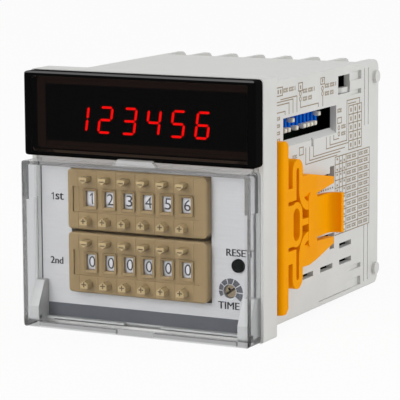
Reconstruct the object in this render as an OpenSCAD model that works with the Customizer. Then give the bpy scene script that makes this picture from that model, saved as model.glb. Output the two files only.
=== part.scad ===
// Preset counter for a square panel front, in millimetres.
// X is to the viewer's right, Y into the panel and Z up.
// The origin is the centre of the flange's rear face, which seats on the panel.

/* [Flange and body] */
// Width and height of the front flange
flange_w = 72; // [68:0.5:84]
// Depth of the flange in front of the panel
flange_t = 8.5; // [7.5:0.1:10]
// Corner radius of the flange
flange_r = 0.8; // [0.4:0.1:2]
// Thickness of the flange's rim around the bezel
rim_t = 1.45; // [1.2:0.05:1.8]
// How far the flange stands out past the body at each side
side_lip = 2.7; // [2.2:0.1:2.8]
// How far the flange stands out past the body at the top and bottom
top_lip = 2; // [1.7:0.1:3]
// Depth of the body behind the panel, to the ends of the ears
body_depth = 77.3; // [74:0.1:95]
// Radius of the body's long edges
body_r = 0.6; // [0.4:0.1:1.5]
// Wall thickness of the body
wall = 2; // [1.7:0.1:2.1]
// Depth of the open terminal bays at the rear
bay_depth = 13; // [11:0.1:15]
// Radius of the rear corners of the ears and barriers
ear_r = 3; // [1:0.1:4]

/* [Bezel and face sheet] */
// Thickness of the bezel plate
bezel_t = 4; // [3:0.1:5]
// Thickness of the printed face sheet
sheet_t = 0.4; // [0.3:0.05:0.5]
// Margin of the bezel that shows beside the face sheet
sheet_margin = 1.25; // [0.8:0.05:2]
// Width of the hinge lugs
lug_w = 2.9; // [2.4:0.1:3.2]
// Height of the lugs above the hinge axis
lug_rise = 10.1; // [8:0.1:12]

/* [Display] */
// Height of the smoked window
window_h = 23.6; // [21:0.1:26]
// How far the window stands out from the flange
window_proud = 4.6; // [3:0.1:5]
// Thickness of the window's front
window_skin = 1.5; // [1:0.1:2]
// Thickness of the window's side walls
window_wall = 1.7; // [1.2:0.1:2.2]
// Inset of the window from the flange's top and sides
window_inset = 0.2; // [0.1:0.05:0.6]
// Number shown on the display, one digit for each place
shown = [1, 2, 3, 4, 5, 6];
// Height of a display digit
digit_h = 7.65; // [6:0.05:9]
// Width of a display digit
digit_w = 4.3; // [3.5:0.05:5.5]
// Spacing of the display digits
digit_pitch = 7.54; // [6.5:0.02:9]
// Width of a lit segment
segment_t = 0.65; // [0.5:0.05:1.1]
// Half of the gap between two segments
segment_gap = 0.2; // [0.1:0.02:0.3]
// Lean of the digits in degrees
digit_lean = 8; // [0:1:12]
// Height of the digits' centre above the window's lower edge
digit_rise = 10.35; // [8:0.05:12]
// Sideways place of the digits' middle
digits_x = -1.05; // [-2:0.05:2]

/* [Cover] */
// How far the cover stands out from the flange
cover_proud = 7.4; // [7:0.1:9]
// Inset of the cover from the flange's sides
cover_inset = 0.5; // [0.3:0.1:1]
// Gap between the flange and the cover's rear edge
cover_stand = 0.6; // [0.4:0.1:1]
// Wall thickness of the cover
cover_skin = 1.2; // [0.9:0.1:1.4]
// Gap between the window and the top of the cover
cover_gap = 1.2; // [0.8:0.1:2]
// Distance of the hinge axis in front of the flange
hinge_out = 4.5; // [4.3:0.1:4.7]
// Height of the hinge axis above the cover's lower edge
hinge_up = 2.4; // [2.2:0.1:2.8]
// Radius of the hinge pins
pin_r = 0.7; // [0.6:0.05:0.8]
// Width of the finger tab at its root
tab_w = 13.4; // [8:0.1:20]
// Height of the finger tab above the cover
tab_h = 1.8; // [1.2:0.1:2.4]

/* [Push-wheel switches] */
// Number of digits in each bank
columns = 6; // [4:1:6]
// Width of one switch module
module_w = 6; // [5.8:0.05:6.4]
// Widths of the left and the right end plate
end_w = [3.5, 4.1];
// Height of a bank
bank_h = 17.1; // [16.6:0.1:17.6]
// Gap between the two banks
bank_gap = 0.75; // [0.3:0.05:1.5]
// Sideways place of the banks' centre
bank_x = -1.5; // [-4:0.1:0]
// Gap between the window and the upper bank
bank_drop = 3.2; // [2.6:0.1:4]
// How far the banks stand out from the flange
bank_proud = 2.9; // [2.2:0.1:3.4]
// Depth of a switch module
module_d = 14.4; // [14.2:0.1:18]
// Depth of the recessed band across a bank
band_d = 0.5; // [0.2:0.05:0.6]
// Height of the recessed band
band_h = 7.1; // [6.2:0.1:8]
// Width of a digit wheel's window
wheel_window_w = 2.8; // [2:0.1:3.2]
// Height of a digit wheel's window
wheel_window_h = 4.4; // [3:0.1:4.8]
// Sideways place of the window in its module
window_dx = 0.5; // [0:0.05:0.6]
// Radius of a digit wheel
wheel_r = 6; // [5:0.1:6.2]
// Width of a digit wheel
wheel_w = 2.9; // [2.4:0.1:3.1]
// Depth of the wheel behind the bank's front
wheel_sunk = 1.25; // [0.9:0.05:1.3]
// Width of a push button
button_w = 2.3; // [1.6:0.1:2.8]
// Height of a minus button
minus_h = 1.75; // [1.4:0.05:2.2]
// Height of a plus button
plus_h = 2.15; // [1.8:0.05:2.4]
// Height of the pointed end of a button
point_h = 0.85; // [0.5:0.05:1]
// How far the buttons stand out from the bank
button_proud = 2.7; // [2:0.1:2.9]
// Distance of the buttons from the bank's middle
button_dz = 5.65; // [5.4:0.05:6]
// Travel of the buttons
button_travel = 1.2; // [0.6:0.1:1.3]

/* [Front controls] */
// Distance of the reset button from the flange's right edge
reset_in = 7.2; // [7.1:0.1:9]
// Height of the reset button above the lower bank's middle
reset_rise = 2.4; // [1.6:0.1:4]
// Radius of the reset button
reset_r = 1.85; // [1.4:0.05:2.2]
// How far the reset button stands out from the face sheet
reset_proud = 0.6; // [0.5:0.05:1.2]
// Distance of the time trimmer from the flange's right edge
trimmer_in = 9.9; // [9.6:0.1:10.8]
// Drop of the time trimmer below the lower bank's middle
trimmer_drop = 4.9; // [4.6:0.1:5.4]
// Radius of the trimmer's rotor
trimmer_r = 1.7; // [1.4:0.05:2]
// Width of the trimmer's screwdriver slot
trimmer_slot = 0.6; // [0.4:0.05:0.9]

/* [Side window and option switch] */
// Front end and rear end of the side window
side_window_y = [9.8, 46];
// Distance of the side window below the body's top
side_window_drop = 10.8; // [9:0.1:12]
// Height of the side window
side_window_h = 6.6; // [5.6:0.1:7.6]
// Drop of the sloping sill below the side window
sill_drop = 1.5; // [1:0.1:3]
// Spacing of the option levers
lever_pitch = 2.54; // [2.2:0.02:2.8]
// Levers by place, with 1 up, 0 down and -1 where there is none
lever_set = [0, 0, 1, 0, -1, 0, 0, 0, 0, 1];
// Depth of the levers' tips behind the body's side
lever_inset = 2.1; // [1:0.1:3]
// Reach of the levers in front of their switch
lever_l = 2; // [1.6:0.1:3]

/* [Brackets] */
// Height of the brackets' middle
bracket_z = -6.3; // [-8:0.1:-4]
// Height of a bracket's frame above the body's side
bracket_h = 3.3; // [2.6:0.1:4]
// Gap between the flange and the bracket's foot
foot_gap = 2.1; // [2.1:0.1:5]
// Depth of the foot
foot_d = 4.1; // [3:0.1:5]
// Length of the foot
foot_l = 48; // [44:0.2:52]
// Width of the spring legs
leg_w = 2.5; // [1.6:0.1:2.6]
// Travel of a bracket from rest, forwards and backwards
bracket_travel = [1.9, 4.4];

/* [Terminals] */
// Number of terminals in each row
terminals = 7; // [5:1:8]
// Thickness of the barriers
barrier_t = 1.6; // [1.2:0.1:2]
// Radius of the terminal screws' shanks
screw_r = 1.6; // [1.2:0.05:1.7]
// Radius of the terminal screws' heads
screw_head_r = 3; // [2.4:0.1:3.1]

/* [Hidden] */
$fn = 48;
// Clearance between pieces that are seated together
seat = 0.1;
// Running clearance of pins, axles and rotors
run_fit = 0.05;
// Overlap that lets joined shapes merge
merge = 0.5;
// Reach of a cut past the surface that it opens
past = 1;

face_y = -flange_t;
sheet_y = face_y - sheet_t;
body_w = flange_w - 2 * side_lip;
body_h = flange_w - 2 * top_lip;
side_x = body_w / 2;
inner_x = side_x - wall;
inner_z = body_h / 2 - wall;
roof_end = body_depth - bay_depth;

bezel_w = flange_w - 2 * rim_t - 4 * seat;
bezel_back = face_y + bezel_t;
sheet_w = bezel_w - 2 * sheet_margin;
sheet_rise = 0.6;
sheet_low = sheet_rise - bezel_w / 2;
cover_w = flange_w - 2 * cover_inset;
window_w = flange_w - 2 * window_inset;

window_top = flange_w / 2 - window_inset;
window_low = window_top - window_h;
window_mid = window_top - window_h / 2;
window_y = face_y - window_proud;
window_edge = 0.5;
display_margin = 2.6;
display_half = window_w / 2 - window_wall - display_margin;
digit_z = window_low + digit_rise;
segment_d = 0.2;
led_y = face_y + segment_d;

cover_top = window_low - cover_gap;
cover_low = -flange_w / 2;
cover_y = face_y - cover_proud;
cover_r = 1.2;
hinge_y = face_y - hinge_out;
hinge_z = cover_low + hinge_up;
cover_back = face_y - cover_stand;
cover_swing = cover_back - hinge_y;
lug_gap = 0.3;
lug_nose = cover_proud - cover_skin - hinge_out - lug_gap;
lug_out = cover_w / 2 - cover_skin - lug_gap;
lug_in = lug_out - lug_w;
lug_shelf = 2.4;
lug_flat = 3.2;
lug_step = 0.3;
ledge_gap = [-6.2, 5.5];
tab_slope = 1.6;
tab_t = 1.4;
pad_t = 0.8;
pad_h = 11;

bank_y = face_y - bank_proud;
bank_back = bank_y + module_d;
bank_r = 0.7;
bank_corner_r = 1.8;
bank_pitch = bank_h + bank_gap;
bank_z = window_low - bank_drop - bank_h / 2;
lower_z = bank_z - bank_pitch;
bank_left = bank_x - columns * module_w / 2 - end_w[0];
bank_right = bank_x + columns * module_w / 2 + end_w[1];
module_seam = 0.06;
band_in = 1.75;
frame_w = 4.6;
frame_h = 5.8;
frame_r = 0.7;
frame_bevel = 0.45;
frame_rim = 0.25;
window_dz = 0.25;
wheel_y = bank_y + wheel_sunk + wheel_r;
wheel_room = 0.15;
axle_r = 1.2;
ratchet_w = 0.7;
ratchet_r = 4.6;
ratchet_depth = 0.9;
wheel_teeth = 10;
button_y = bank_y - button_proud;
button_wall = 0.8;
button_rim = 0.35;
button_rim_t = 0.4;
button_fit = 0.12;
button_stop = bank_y + button_wall + seat;

board_t = 1.6;
front_board_d = 8;
front_board_y = face_y + front_board_d;
board_gap = 3;
board_in = 1.5;
core = [24, 34];
coil = [18, 21];
coil_lift = 3;
coil_over = 3;
relay = [15, 15, 19];
relay_gap = 6;
relay_end = 2;
post_r = 1.4;
post_in = 1.9;
reset_at = [flange_w / 2 - reset_in, lower_z + reset_rise];
reset_room = 0.2;
reset_rim = 0.5;
reset_rim_r = reset_r + reset_rim;
reset_rim_t = 0.5;
reset_travel = 0.4;
reset_body_w = 4.4;
plunger_r = 1.6;
plunger_l = 0.8;
trimmer_at = [flange_w / 2 - trimmer_in, lower_z - trimmer_drop];
trimmer_room = 0.25;
trimmer_sunk = 0.8;
trimmer_stem_r = 1;
trimmer_stem_l = 2.5;
trimmer_body_w = 5.4;

side_window_top = body_h / 2 - side_window_drop;
side_window_z = [side_window_top - side_window_h, side_window_top];
lever_base_x = side_x - lever_inset - lever_l;
option_d = 7;
board_x = lever_base_x - option_d;
side_window_mid = (side_window_y[0] + side_window_y[1]) / 2;
lever_w = 1.4;
lever_h = 1.3;
lever_tip_r = 0.5;
lever_neck = [0.5, 1];
lever_up = 2.45;
lever_rise = 2.35;
lever_low_z = side_window_z[0] + lever_rise;
lever_top_z = lever_low_z + lever_up + lever_h / 2;
option_margin = 2;
option_low = 0.35;
slot_depth = 1;

foot_y = foot_gap;
foot_end = foot_y + foot_d;
foot_r = 1.6;
foot_tip = 1.4;
bracket_lift = 0.15;
leg_y = foot_end + 2.7;
loop_gap = 1.8;
loop_top = 18.2;
leg_root = 6.9;
bridge_top = 10.5;
ring_y = foot_end + 1.5;
ring_w = 7.7;
ring_half = 6.3;
ring_wall = 1.75;
web_half = 0.9;
leg2_y = leg_y + leg_w + loop_gap;
arm_r = 6.4;
arm_y = leg2_y + arm_r;
arm_z = 9.5;
arm_l = 4;
pocket_d = 1.3;
plate_y = arm_y - seat;
plate_end = plate_y + 6.8;
plate_d = 0.4;
rib_w = 3;
rib_half = 7.6;
prong_tip = plate_end + 13.7;
prong_top = 12.9;
prong_low = 6.9;
plate_step = 1;
prong_z = [7.8, 9.7];
prong_t = 2;
hook_depth = 1.3;
hook_l = 2.2;
hook_ramp = 1.5;
hook_z = [7.9, 9.6];
slot_z = [7.4, 10.2];
slot_y = [prong_tip - hook_l - hook_ramp - bracket_travel[0] - 2, prong_tip + bracket_travel[1] + 0.3];
slot_notch = [3.1, 12.1];
tab_half = 5.7;
tab_bend = plate_end + 6.9;
tab_bend_r = 2.6;
tab_plate_t = 1.6;
tab_tip = 0.7;

block_front = roof_end - 4;
bay_floor = roof_end + 2.2;
terminal_pitch = (body_w - wall) / terminals;
row_z = inner_z - 12.3;
screw_z = (row_z + body_h / 2) / 2;
washer_t = 1;
screw_head_h = 2.2;
screw_l = 5;
latch_y = [roof_end - 17, roof_end - 8.4];
latch_z = [body_h / 2 - 8, body_h / 2 - 2.6];
tongue_y = [latch_y[0] + 1.7, latch_y[1] - 0.7];
tongue_z = [latch_z[0] + 0.15, latch_z[0] + 1.65];

SEGMENTS = [
    [1, 1, 1, 1, 1, 1, 0],
    [0, 1, 1, 0, 0, 0, 0],
    [1, 1, 0, 1, 1, 0, 1],
    [1, 1, 1, 1, 0, 0, 1],
    [0, 1, 1, 0, 0, 1, 1],
    [1, 0, 1, 1, 0, 1, 1],
    [1, 0, 1, 1, 1, 1, 1],
    [1, 1, 1, 0, 0, 0, 0],
    [1, 1, 1, 1, 1, 1, 1],
    [1, 1, 1, 1, 0, 1, 1]
];

// Box between two opposite corners
module box(low, high) {
    translate(low) cube(high - low);
}

// Flat shape in X and Z, extruded along Y
module along_y(y0, y1) {
    translate([0, y1, 0]) rotate([90, 0, 0]) linear_extrude(y1 - y0) children();
}

// Flat shape in Y and Z, extruded along X
module along_x(x0, x1) {
    translate([x0, 0, 0]) rotate([90, 0, 90]) linear_extrude(x1 - x0) children();
}

// Flat shape in X and Y, extruded along Z
module along_z(z0, z1) {
    translate([0, 0, z0]) linear_extrude(z1 - z0) children();
}

// Round bar along X
module rod_x(r, x0, x1, y, z) {
    translate([x0, y, z]) rotate([0, 90, 0]) cylinder(h = x1 - x0, r = r);
}

// Round bar along Y
module rod_y(r, y0, y1, x, z) {
    translate([x, y0, z]) rotate([-90, 0, 0]) cylinder(h = y1 - y0, r = r);
}

// Rectangle about the origin with round corners
module round_rect(w, h, r) {
    square([w - 2 * r, h], center = true);
    square([w, h - 2 * r], center = true);
    for (sx = [-1, 1], sy = [-1, 1]) {
        translate([sx * (w / 2 - r), sy * (h / 2 - r)]) circle(r);
    }
}

// Rectangle from x0 to x1, with round corners at x1
module round_end(x0, x1, h, r) {
    translate([x0, -h / 2]) square([x1 - r - x0, h]);
    translate([x0, -h / 2 + r]) square([x1 - x0, h - 2 * r]);
    for (s = [-1, 1]) {
        translate([x1 - r, s * (h / 2 - r)]) circle(r);
    }
}

// Slab about the Y axis with round edges
module slab(w, h, y0, y1, r) {
    along_y(y0, y1) round_rect(w, h, r);
}

// Flat shape with its two axes exchanged
module swapped() {
    mirror([1, 0]) rotate(90) children();
}

// Shape repeated on the right and the left side
module both_sides() {
    children();
    mirror([1, 0, 0]) children();
}

// Sideways place of a switch column
function column_x(i) = bank_x + (i - (columns - 1) / 2) * module_w;

// Sideways place of a barrier between the terminals
function barrier_x(i) = (i - terminals / 2) * terminal_pitch;

module case() {
    color("gainsboro") difference() {
        case_blank();
        slab(flange_w - 2 * rim_t, flange_w - 2 * rim_t, face_y - past, bezel_back, flange_r);
        slab(2 * inner_x, 2 * inner_z, face_y, body_depth + past, body_r);
        box([-inner_x, roof_end, -body_h], [inner_x, body_depth + past, body_h]);
        side_window();
        both_sides() side_cuts();
    }
}

module case_blank() {
    slab(flange_w, flange_w, face_y, 0, flange_r);
    intersection() {
        slab(body_w, body_h, -merge, body_depth, body_r);
        along_x(-body_w, body_w) round_end(-flange_t, body_depth, body_h, ear_r);
    }
    both_sides() rear_bosses();
}

// Round bosses on the ears
module rear_bosses() {
    boss_r = 1.8;
    boss_h = 1;
    boss_back = 2.7;
    boss_in = [5.1, 4.8];
    for (z = [body_h / 2 - boss_in[0], boss_in[1] - body_h / 2]) {
        rod_x(boss_r, side_x - merge, side_x + boss_h, body_depth - boss_back, z);
    }
}

// Window in the right side for the option levers, with its sloping sill
module side_window() {
    y0 = side_window_y[0];
    y1 = side_window_y[1];
    z0 = side_window_z[0];
    z1 = side_window_z[1];
    notch_y = [28.6, 30.1];
    notch_d = 0.8;
    notch_h = 3.4;
    box([inner_x - past, y0, z0], [side_x + past, y1, z1]);
    along_y(y0, y1) polygon([
        [inner_x, z0], [side_x, z0 - sill_drop], [side_x + past, z0 - sill_drop],
        [side_x + past, z0 + merge], [inner_x, z0 + merge]
    ]);
    box([side_x - notch_d, notch_y[0], z0 - notch_h], [side_x + past, notch_y[1], z0]);
}

// Openings and grooves in a side wall
module side_cuts() {
    latch_hole();
    bracket_slots();
    vent_slots();
    rear_grooves();
    ramp_pockets();
    tooth_pits();
}

module latch_hole() {
    box([inner_x - past, latch_y[0], latch_z[0]], [side_x + past, latch_y[1], latch_z[1]]);
}

// Slots that the bracket's two hooks run in, wider at the rear end
module bracket_slots() {
    translate([0, 0, bracket_z]) along_x(inner_x - past, side_x + past) mirror_pair() {
        translate([slot_y[0], slot_z[0]]) square([slot_y[1] - slot_y[0], slot_z[1] - slot_z[0]]);
        translate([slot_y[1] - slot_notch[0], slot_z[0]]) square([slot_notch[0], slot_notch[1] - slot_z[0]]);
    }
}

module vent_slots() {
    vent = [8.7, 1.5];
    vent_pitch = 13.6;
    row_low = 9.9 - body_h / 2;
    row_high = 14.8 - body_h / 2;
    first = 21.3;
    for (i = [0 : 2]) {
        vent_slot(first + i * vent_pitch, row_low, vent);
    }
    vent_slot(first + 2 * vent_pitch, row_high, vent);
}

module vent_slot(y, z, size) {
    box([inner_x - past, y, z], [side_x + past, y + size[0], z + size[1]]);
}

// Pairs of vertical grooves in the ears, and one long groove near the floor
module rear_grooves() {
    groove_w = 0.5;
    groove_d = 0.4;
    groove_h = 17;
    groove_end = 2;
    groove_back = [10.8, 7.9];
    line_w = 0.3;
    line_y = [34, roof_end];
    line_z = 1.8 - body_h / 2;
    for (b = groove_back, z = [body_h / 2 - groove_end - groove_h, groove_end - body_h / 2]) {
        y = body_depth - b;
        box([side_x - groove_d, y, z], [side_x + past, y + groove_w, z + groove_h]);
    }
    box([side_x - groove_d, line_y[0], line_z - line_w], [side_x + past, line_y[1], line_z]);
}

// Shallow pockets that ramp in towards the ears, two near the floor and two near the roof
module ramp_pockets() {
    from_floor = [[1.6, 4.2], [6.85, 8.25]];
    from_roof = [[2.2, 4.8], [7.6, 9]];
    for (z = from_floor) ramp_pocket(z[0] - body_h / 2, z[1] - body_h / 2);
    for (z = from_roof) ramp_pocket(body_h / 2 - z[1], body_h / 2 - z[0]);
}

module ramp_pocket(z0, z1) {
    pocket_l = 10;
    pocket_in = 0.9;
    along_z(z0, z1) polygon([
        [side_x, roof_end - pocket_l], [side_x - pocket_in, roof_end], [side_x + past, roof_end],
        [side_x + past, roof_end - pocket_l]
    ]);
}

// Row of small pits beside the bracket's tab
module tooth_pits() {
    pit = [0.8, 0.6];
    pit_d = 0.7;
    pit_pitch = 1.6;
    pit_count = 8;
    first = slot_y[1] - pit_count * pit_pitch;
    for (i = [0 : pit_count - 1], s = [-1, 1]) {
        y = first + i * pit_pitch;
        z = bracket_z + s * (tab_half + seat) - pit[1] / 2;
        box([side_x - pit_d, y, z], [side_x + past, y + pit[0], z + pit[1]]);
    }
}

module front_bezel() {
    color("lightgray") difference() {
        union() {
            slab(bezel_w, bezel_w, face_y, bezel_back - seat, flange_r);
            both_sides() hinge_lug();
            bezel_ledges();
            for (p = post_places()) {
                rod_y(post_r, bezel_back - merge, front_board_y - seat, p[0], p[1]);
            }
        }
        display_opening(0);
        bank_opening(2 * seat);
        rod_y(reset_r + reset_room, face_y - past, bezel_back + past, reset_at[0], reset_at[1]);
        rod_y(trimmer_r + trimmer_room, face_y - past, bezel_back + past, trimmer_at[0], trimmer_at[1]);
        both_sides() rod_x(pin_r + run_fit, lug_in - past, lug_out + past, hinge_y, hinge_z);
    }
}

function post_places() = [
    for (s = [-1, 1], z = [window_low, post_in - inner_z]) [s * (inner_x - post_in), z]
];

// Gusset at the bezel's lower corner, with a round nose about the hinge axis
module hinge_lug() {
    nose_y = hinge_y - lug_nose;
    along_x(lug_in, lug_out) {
        polygon([
            [face_y + merge, hinge_z + lug_rise], [face_y - lug_shelf, hinge_z + lug_rise],
            [nose_y, hinge_z + lug_flat], [nose_y, hinge_z], [hinge_y, hinge_z - lug_nose],
            [face_y - lug_step, seat - bezel_w / 2], [face_y + merge, seat - bezel_w / 2]
        ]);
        translate([hinge_y, hinge_z]) circle(lug_nose);
    }
}

// Low strips below the face sheet, with a gap in the middle
module bezel_ledges() {
    ledge_out = 1.6;
    for (x = [[-lug_in - seat, ledge_gap[0]], [ledge_gap[1], lug_in + seat]]) {
        box([x[0], face_y - ledge_out, -bezel_w / 2], [x[1], face_y + merge, sheet_low - seat]);
    }
}

// Opening behind the window for the display block, grown by a clearance
module display_opening(grow) {
    half_w = display_half + grow;
    z0 = window_low + display_margin - grow;
    z1 = window_top - display_margin + grow;
    box([-half_w, face_y - past, z0], [half_w, bezel_back + past, z1]);
}

// Opening for both switch banks, grown by a clearance
module bank_opening(grow) {
    box(
        [bank_left - grow, face_y - past, lower_z - bank_h / 2 - grow],
        [bank_right + grow, bank_back + past, bank_z + bank_h / 2 + grow]
    );
}

module front_plate() {
    notch_x = lug_in - seat;
    notch_z = hinge_z + lug_rise + seat;
    color("silver") difference() {
        box([-sheet_w / 2, sheet_y, sheet_low], [sheet_w / 2, face_y, window_low - seat]);
        bank_opening(seat);
        both_sides() box([notch_x, sheet_y - past, -flange_w], [flange_w, face_y + past, notch_z]);
        rod_y(reset_r + seat, sheet_y - past, face_y + past, reset_at[0], reset_at[1]);
        rod_y(trimmer_r + trimmer_room, sheet_y - past, face_y + past, trimmer_at[0], trimmer_at[1]);
    }
}

module display_window() {
    inner_h = window_h - 2 * window_wall;
    color("black") difference() {
        intersection() {
            translate([0, 0, window_mid]) slab(window_w, window_h, window_y, face_y, cover_r);
            along_z(-flange_w, flange_w) bevelled_front(window_w / 2, window_y, window_edge);
            along_x(-flange_w, flange_w) translate([0, window_mid]) swapped()
                bevelled_front(window_h / 2, window_y, window_edge);
        }
        translate([0, 0, window_mid])
            slab(window_w - 2 * window_wall, inner_h, window_y + window_skin, face_y + past, cover_r);
    }
}

// Section across X and Y with the two front edges cut off
module bevelled_front(half, y, edge) {
    polygon([
        [-half, past], [-half, y + edge], [-half + edge, y], [half - edge, y], [half, y + edge], [half, past]
    ]);
}

// Block that holds all the digits, standing on the front board
module led_display() {
    color([0.06, 0.06, 0.06]) intersection() {
        display_opening(-seat);
        box([-flange_w, led_y, -flange_w], [flange_w, bezel_back - seat, flange_w]);
    }
    half_w = inner_x - 2 * seat;
    color([0.06, 0.06, 0.06]) box(
        [-half_w, led_y + merge, window_low + display_margin + seat],
        [half_w, front_board_y - seat, inner_z - 2 * seat]
    );
}

module led_segments() {
    color("red") for (i = [0 : len(shown) - 1]) {
        x = digits_x + (i - (len(shown) - 1) / 2) * digit_pitch;
        along_y(face_y, led_y) translate([x, digit_z]) digit(shown[i]);
    }
}

// Lit segments of one digit about its centre
module digit(value) {
    for (s = [0 : 6]) {
        if (SEGMENTS[value][s] == 1) polygon([for (p = segment_points(s)) lean(p)]);
    }
}

function lean(p) = [p[0] + p[1] * tan(digit_lean), p[1]];

// Outline of a segment: the top one first, then clockwise, and the middle one last
function segment_points(s) =
    let(x = (digit_w - segment_t) / 2, z = (digit_h - segment_t) / 2)
    s == 0 ? bar_points([0, z], x, true) :
    s == 1 ? bar_points([x, z / 2], z / 2, false) :
    s == 2 ? bar_points([x, -z / 2], z / 2, false) :
    s == 3 ? bar_points([0, -z], x, true) :
    s == 4 ? bar_points([-x, -z / 2], z / 2, false) :
    s == 5 ? bar_points([-x, z / 2], z / 2, false) :
    bar_points([0, 0], x, true);

// Pointed bar about a centre, lying or standing
function bar_points(at, reach, lying) =
    let(l = reach - segment_gap, t = segment_t / 2)
    [for (p = [[-l, 0], [t - l, t], [l - t, t], [l, 0], [l - t, -t], [t - l, -t]])
        lying ? at + p : at + [p[1], p[0]]];

module front_cover() {
    color("lightcyan") {
        difference() {
            cover_shell();
            cover_hollow();
        }
        finger_tab();
        both_sides() cover_side_details();
        cover_lips();
    }
}

module cover_shell() {
    mid = (cover_top + cover_low) / 2;
    intersection() {
        translate([0, 0, mid]) slab(cover_w, cover_top - cover_low, cover_y, cover_back, cover_r);
        along_x(-flange_w, flange_w) {
            translate([cover_y, cover_low]) square([hinge_y - cover_y, cover_top - cover_low]);
            translate([cover_y, hinge_z]) square([cover_back - cover_y, cover_top - hinge_z]);
            translate([hinge_y, hinge_z]) circle(cover_swing);
        }
        along_z(-flange_w, flange_w) bevelled_front(cover_w / 2, cover_y, window_edge);
    }
}

// Two lips along the lower edge, between the lugs
module cover_lips() {
    lip_half = lug_in - lug_gap;
    lip_d = 2.3;
    for (x = [[-lip_half, ledge_gap[0]], [ledge_gap[1], lip_half]]) {
        box([x[0], cover_y + merge, cover_low], [x[1], cover_y + lip_d, cover_low + cover_skin]);
    }
}

// Hollow of the cover, open at the back and at the bottom
module cover_hollow() {
    box(
        [-cover_w / 2 + cover_skin, cover_y + cover_skin, cover_low - past],
        [cover_w / 2 - cover_skin, cover_back + past, cover_top - cover_skin]
    );
}

module finger_tab() {
    tab_back = window_y - lug_gap;
    along_y(tab_back - tab_t, tab_back) polygon([
        [-tab_w / 2, cover_top - cover_skin / 2], [tab_w / 2, cover_top - cover_skin / 2],
        [tab_w / 2, cover_top + tab_h - tab_slope], [tab_w / 2 - tab_slope, cover_top + tab_h],
        [tab_slope - tab_w / 2, cover_top + tab_h], [-tab_w / 2, cover_top + tab_h - tab_slope]
    ]);
}

// Grip pad inside the side wall, and the hinge pin
module cover_side_details() {
    wall_x = cover_w / 2 - cover_skin;
    box(
        [wall_x - pad_t, cover_y + cover_skin - seat, cover_top - pad_h],
        [wall_x + seat, cover_back, cover_top - cover_skin + seat]
    );
    rod_x(pin_r, lug_in + lug_gap, wall_x + seat, hinge_y, hinge_z);
}

module upper_switches() {
    switch_bank(bank_z);
}

module lower_switches() {
    switch_bank(lower_z);
}

module switch_bank(z) {
    color("tan") for (i = [0 : columns - 1]) {
        translate([column_x(i), 0, z]) switch_module();
    }
}

// Section of a bank across Y and Z, with round front edges
module bank_section() {
    mirror([1, 0]) round_end(-bank_back, -bank_y, bank_h, bank_r);
}

module switch_module() {
    half = (module_w - module_seam) / 2;
    cavity_x = window_dx - wheel_w / 2 - wheel_room;
    difference() {
        union() {
            difference() {
                along_x(-half, half) bank_section();
                box([-module_w, bank_y - past, -band_h / 2], [module_w, bank_y + band_d, band_h / 2]);
            }
            along_y(bank_y, bank_y + band_d + seat) translate([window_dx, window_dz])
                round_rect(frame_w, frame_h, frame_r);
        }
        translate([window_dx, 0, window_dz]) window_funnel();
        rod_x(wheel_r + wheel_room, cavity_x, module_w, wheel_y, window_dz);
        button_hole(1, minus_h);
        button_hole(-1, plus_h);
    }
    rod_x(axle_r, cavity_x - merge, half - seat, wheel_y, window_dz);
}

// Window with sloping edges, cut through the front
module window_funnel() {
    intersection() {
        along_x(-module_w, module_w) swapped() funnel_section(wheel_window_h / 2);
        along_z(-module_w, module_w) funnel_section(wheel_window_w / 2);
    }
}

function funnel_mouth() = (frame_w - wheel_window_w) / 2 - frame_rim;

module funnel_section(half) {
    polygon([
        [-half - funnel_mouth(), bank_y - 0.01], [half + funnel_mouth(), bank_y - 0.01],
        [half, bank_y + frame_bevel], [half, wheel_y], [-half, wheel_y], [-half, bank_y + frame_bevel]
    ]);
}

// Five-sided button outline in X and Z, pointing at the bank's middle and grown by a clearance
module button_outline(side, h, grow) {
    half_w = button_w / 2 + grow;
    far = side * (button_dz + h / 2 + grow);
    shoulder = side * (button_dz - h / 2 + point_h - grow / 2);
    tip = side * (button_dz - h / 2 - 1.3 * grow);
    polygon([[-half_w, far], [half_w, far], [half_w, shoulder], [0, tip], [-half_w, shoulder]]);
}

// Rim at the button's inner end, grown by a clearance
module button_rim_box(side, h, y0, y1, grow) {
    half_w = button_w / 2 + button_rim + grow;
    half_h = h / 2 + button_rim + grow;
    mid = side * button_dz;
    box([-half_w, y0, mid - half_h], [half_w, y1, mid + half_h]);
}

module button_hole(side, h) {
    rim_end = button_stop + button_rim_t + button_travel + 2 * seat;
    along_y(bank_y - past, button_stop) button_outline(side, h, button_fit);
    button_rim_box(side, h, bank_y + button_wall, rim_end, button_fit);
}

module push_button(side, h) {
    along_y(button_y, button_stop + button_rim_t) button_outline(side, h, 0);
    button_rim_box(side, h, button_stop, button_stop + button_rim_t, 0);
}

// One button of a bank: side 1 is the upper row and -1 the lower row
module bank_button(i, z, side) {
    color("tan") translate([column_x(i), 0, z]) push_button(side, side == 1 ? minus_h : plus_h);
}

module switch_end_plates() {
    color("tan") for (z = [bank_z, lower_z], s = [-1, 1]) {
        w = s < 0 ? end_w[0] : end_w[1];
        translate([bank_x + s * columns * module_w / 2, 0, z]) mirror([s < 0 ? 1 : 0, 0, 0]) end_plate(w);
    }
}

// End plate to the right of the last module, with its seam face at X 0
module end_plate(w) {
    difference() {
        intersection() {
            along_x(module_seam / 2, w) bank_section();
            along_y(bank_y, bank_back) round_end(-w, w, bank_h, bank_corner_r);
            along_z(-bank_h, bank_h) rotate(-90) round_end_right(-bank_back, -bank_y, w, bank_r);
        }
        box([-past, bank_y - past, -band_h / 2], [band_in, bank_y + band_d, band_h / 2]);
    }
}

// Rectangle from the X axis up to width w, with one round corner at x1
module round_end_right(x0, x1, w, r) {
    translate([x0, -w]) square([x1 - x0, 2 * w - r]);
    translate([x0, -w]) square([x1 - r - x0, 2 * w]);
    translate([x1 - r, w - r]) circle(r);
}

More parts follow.
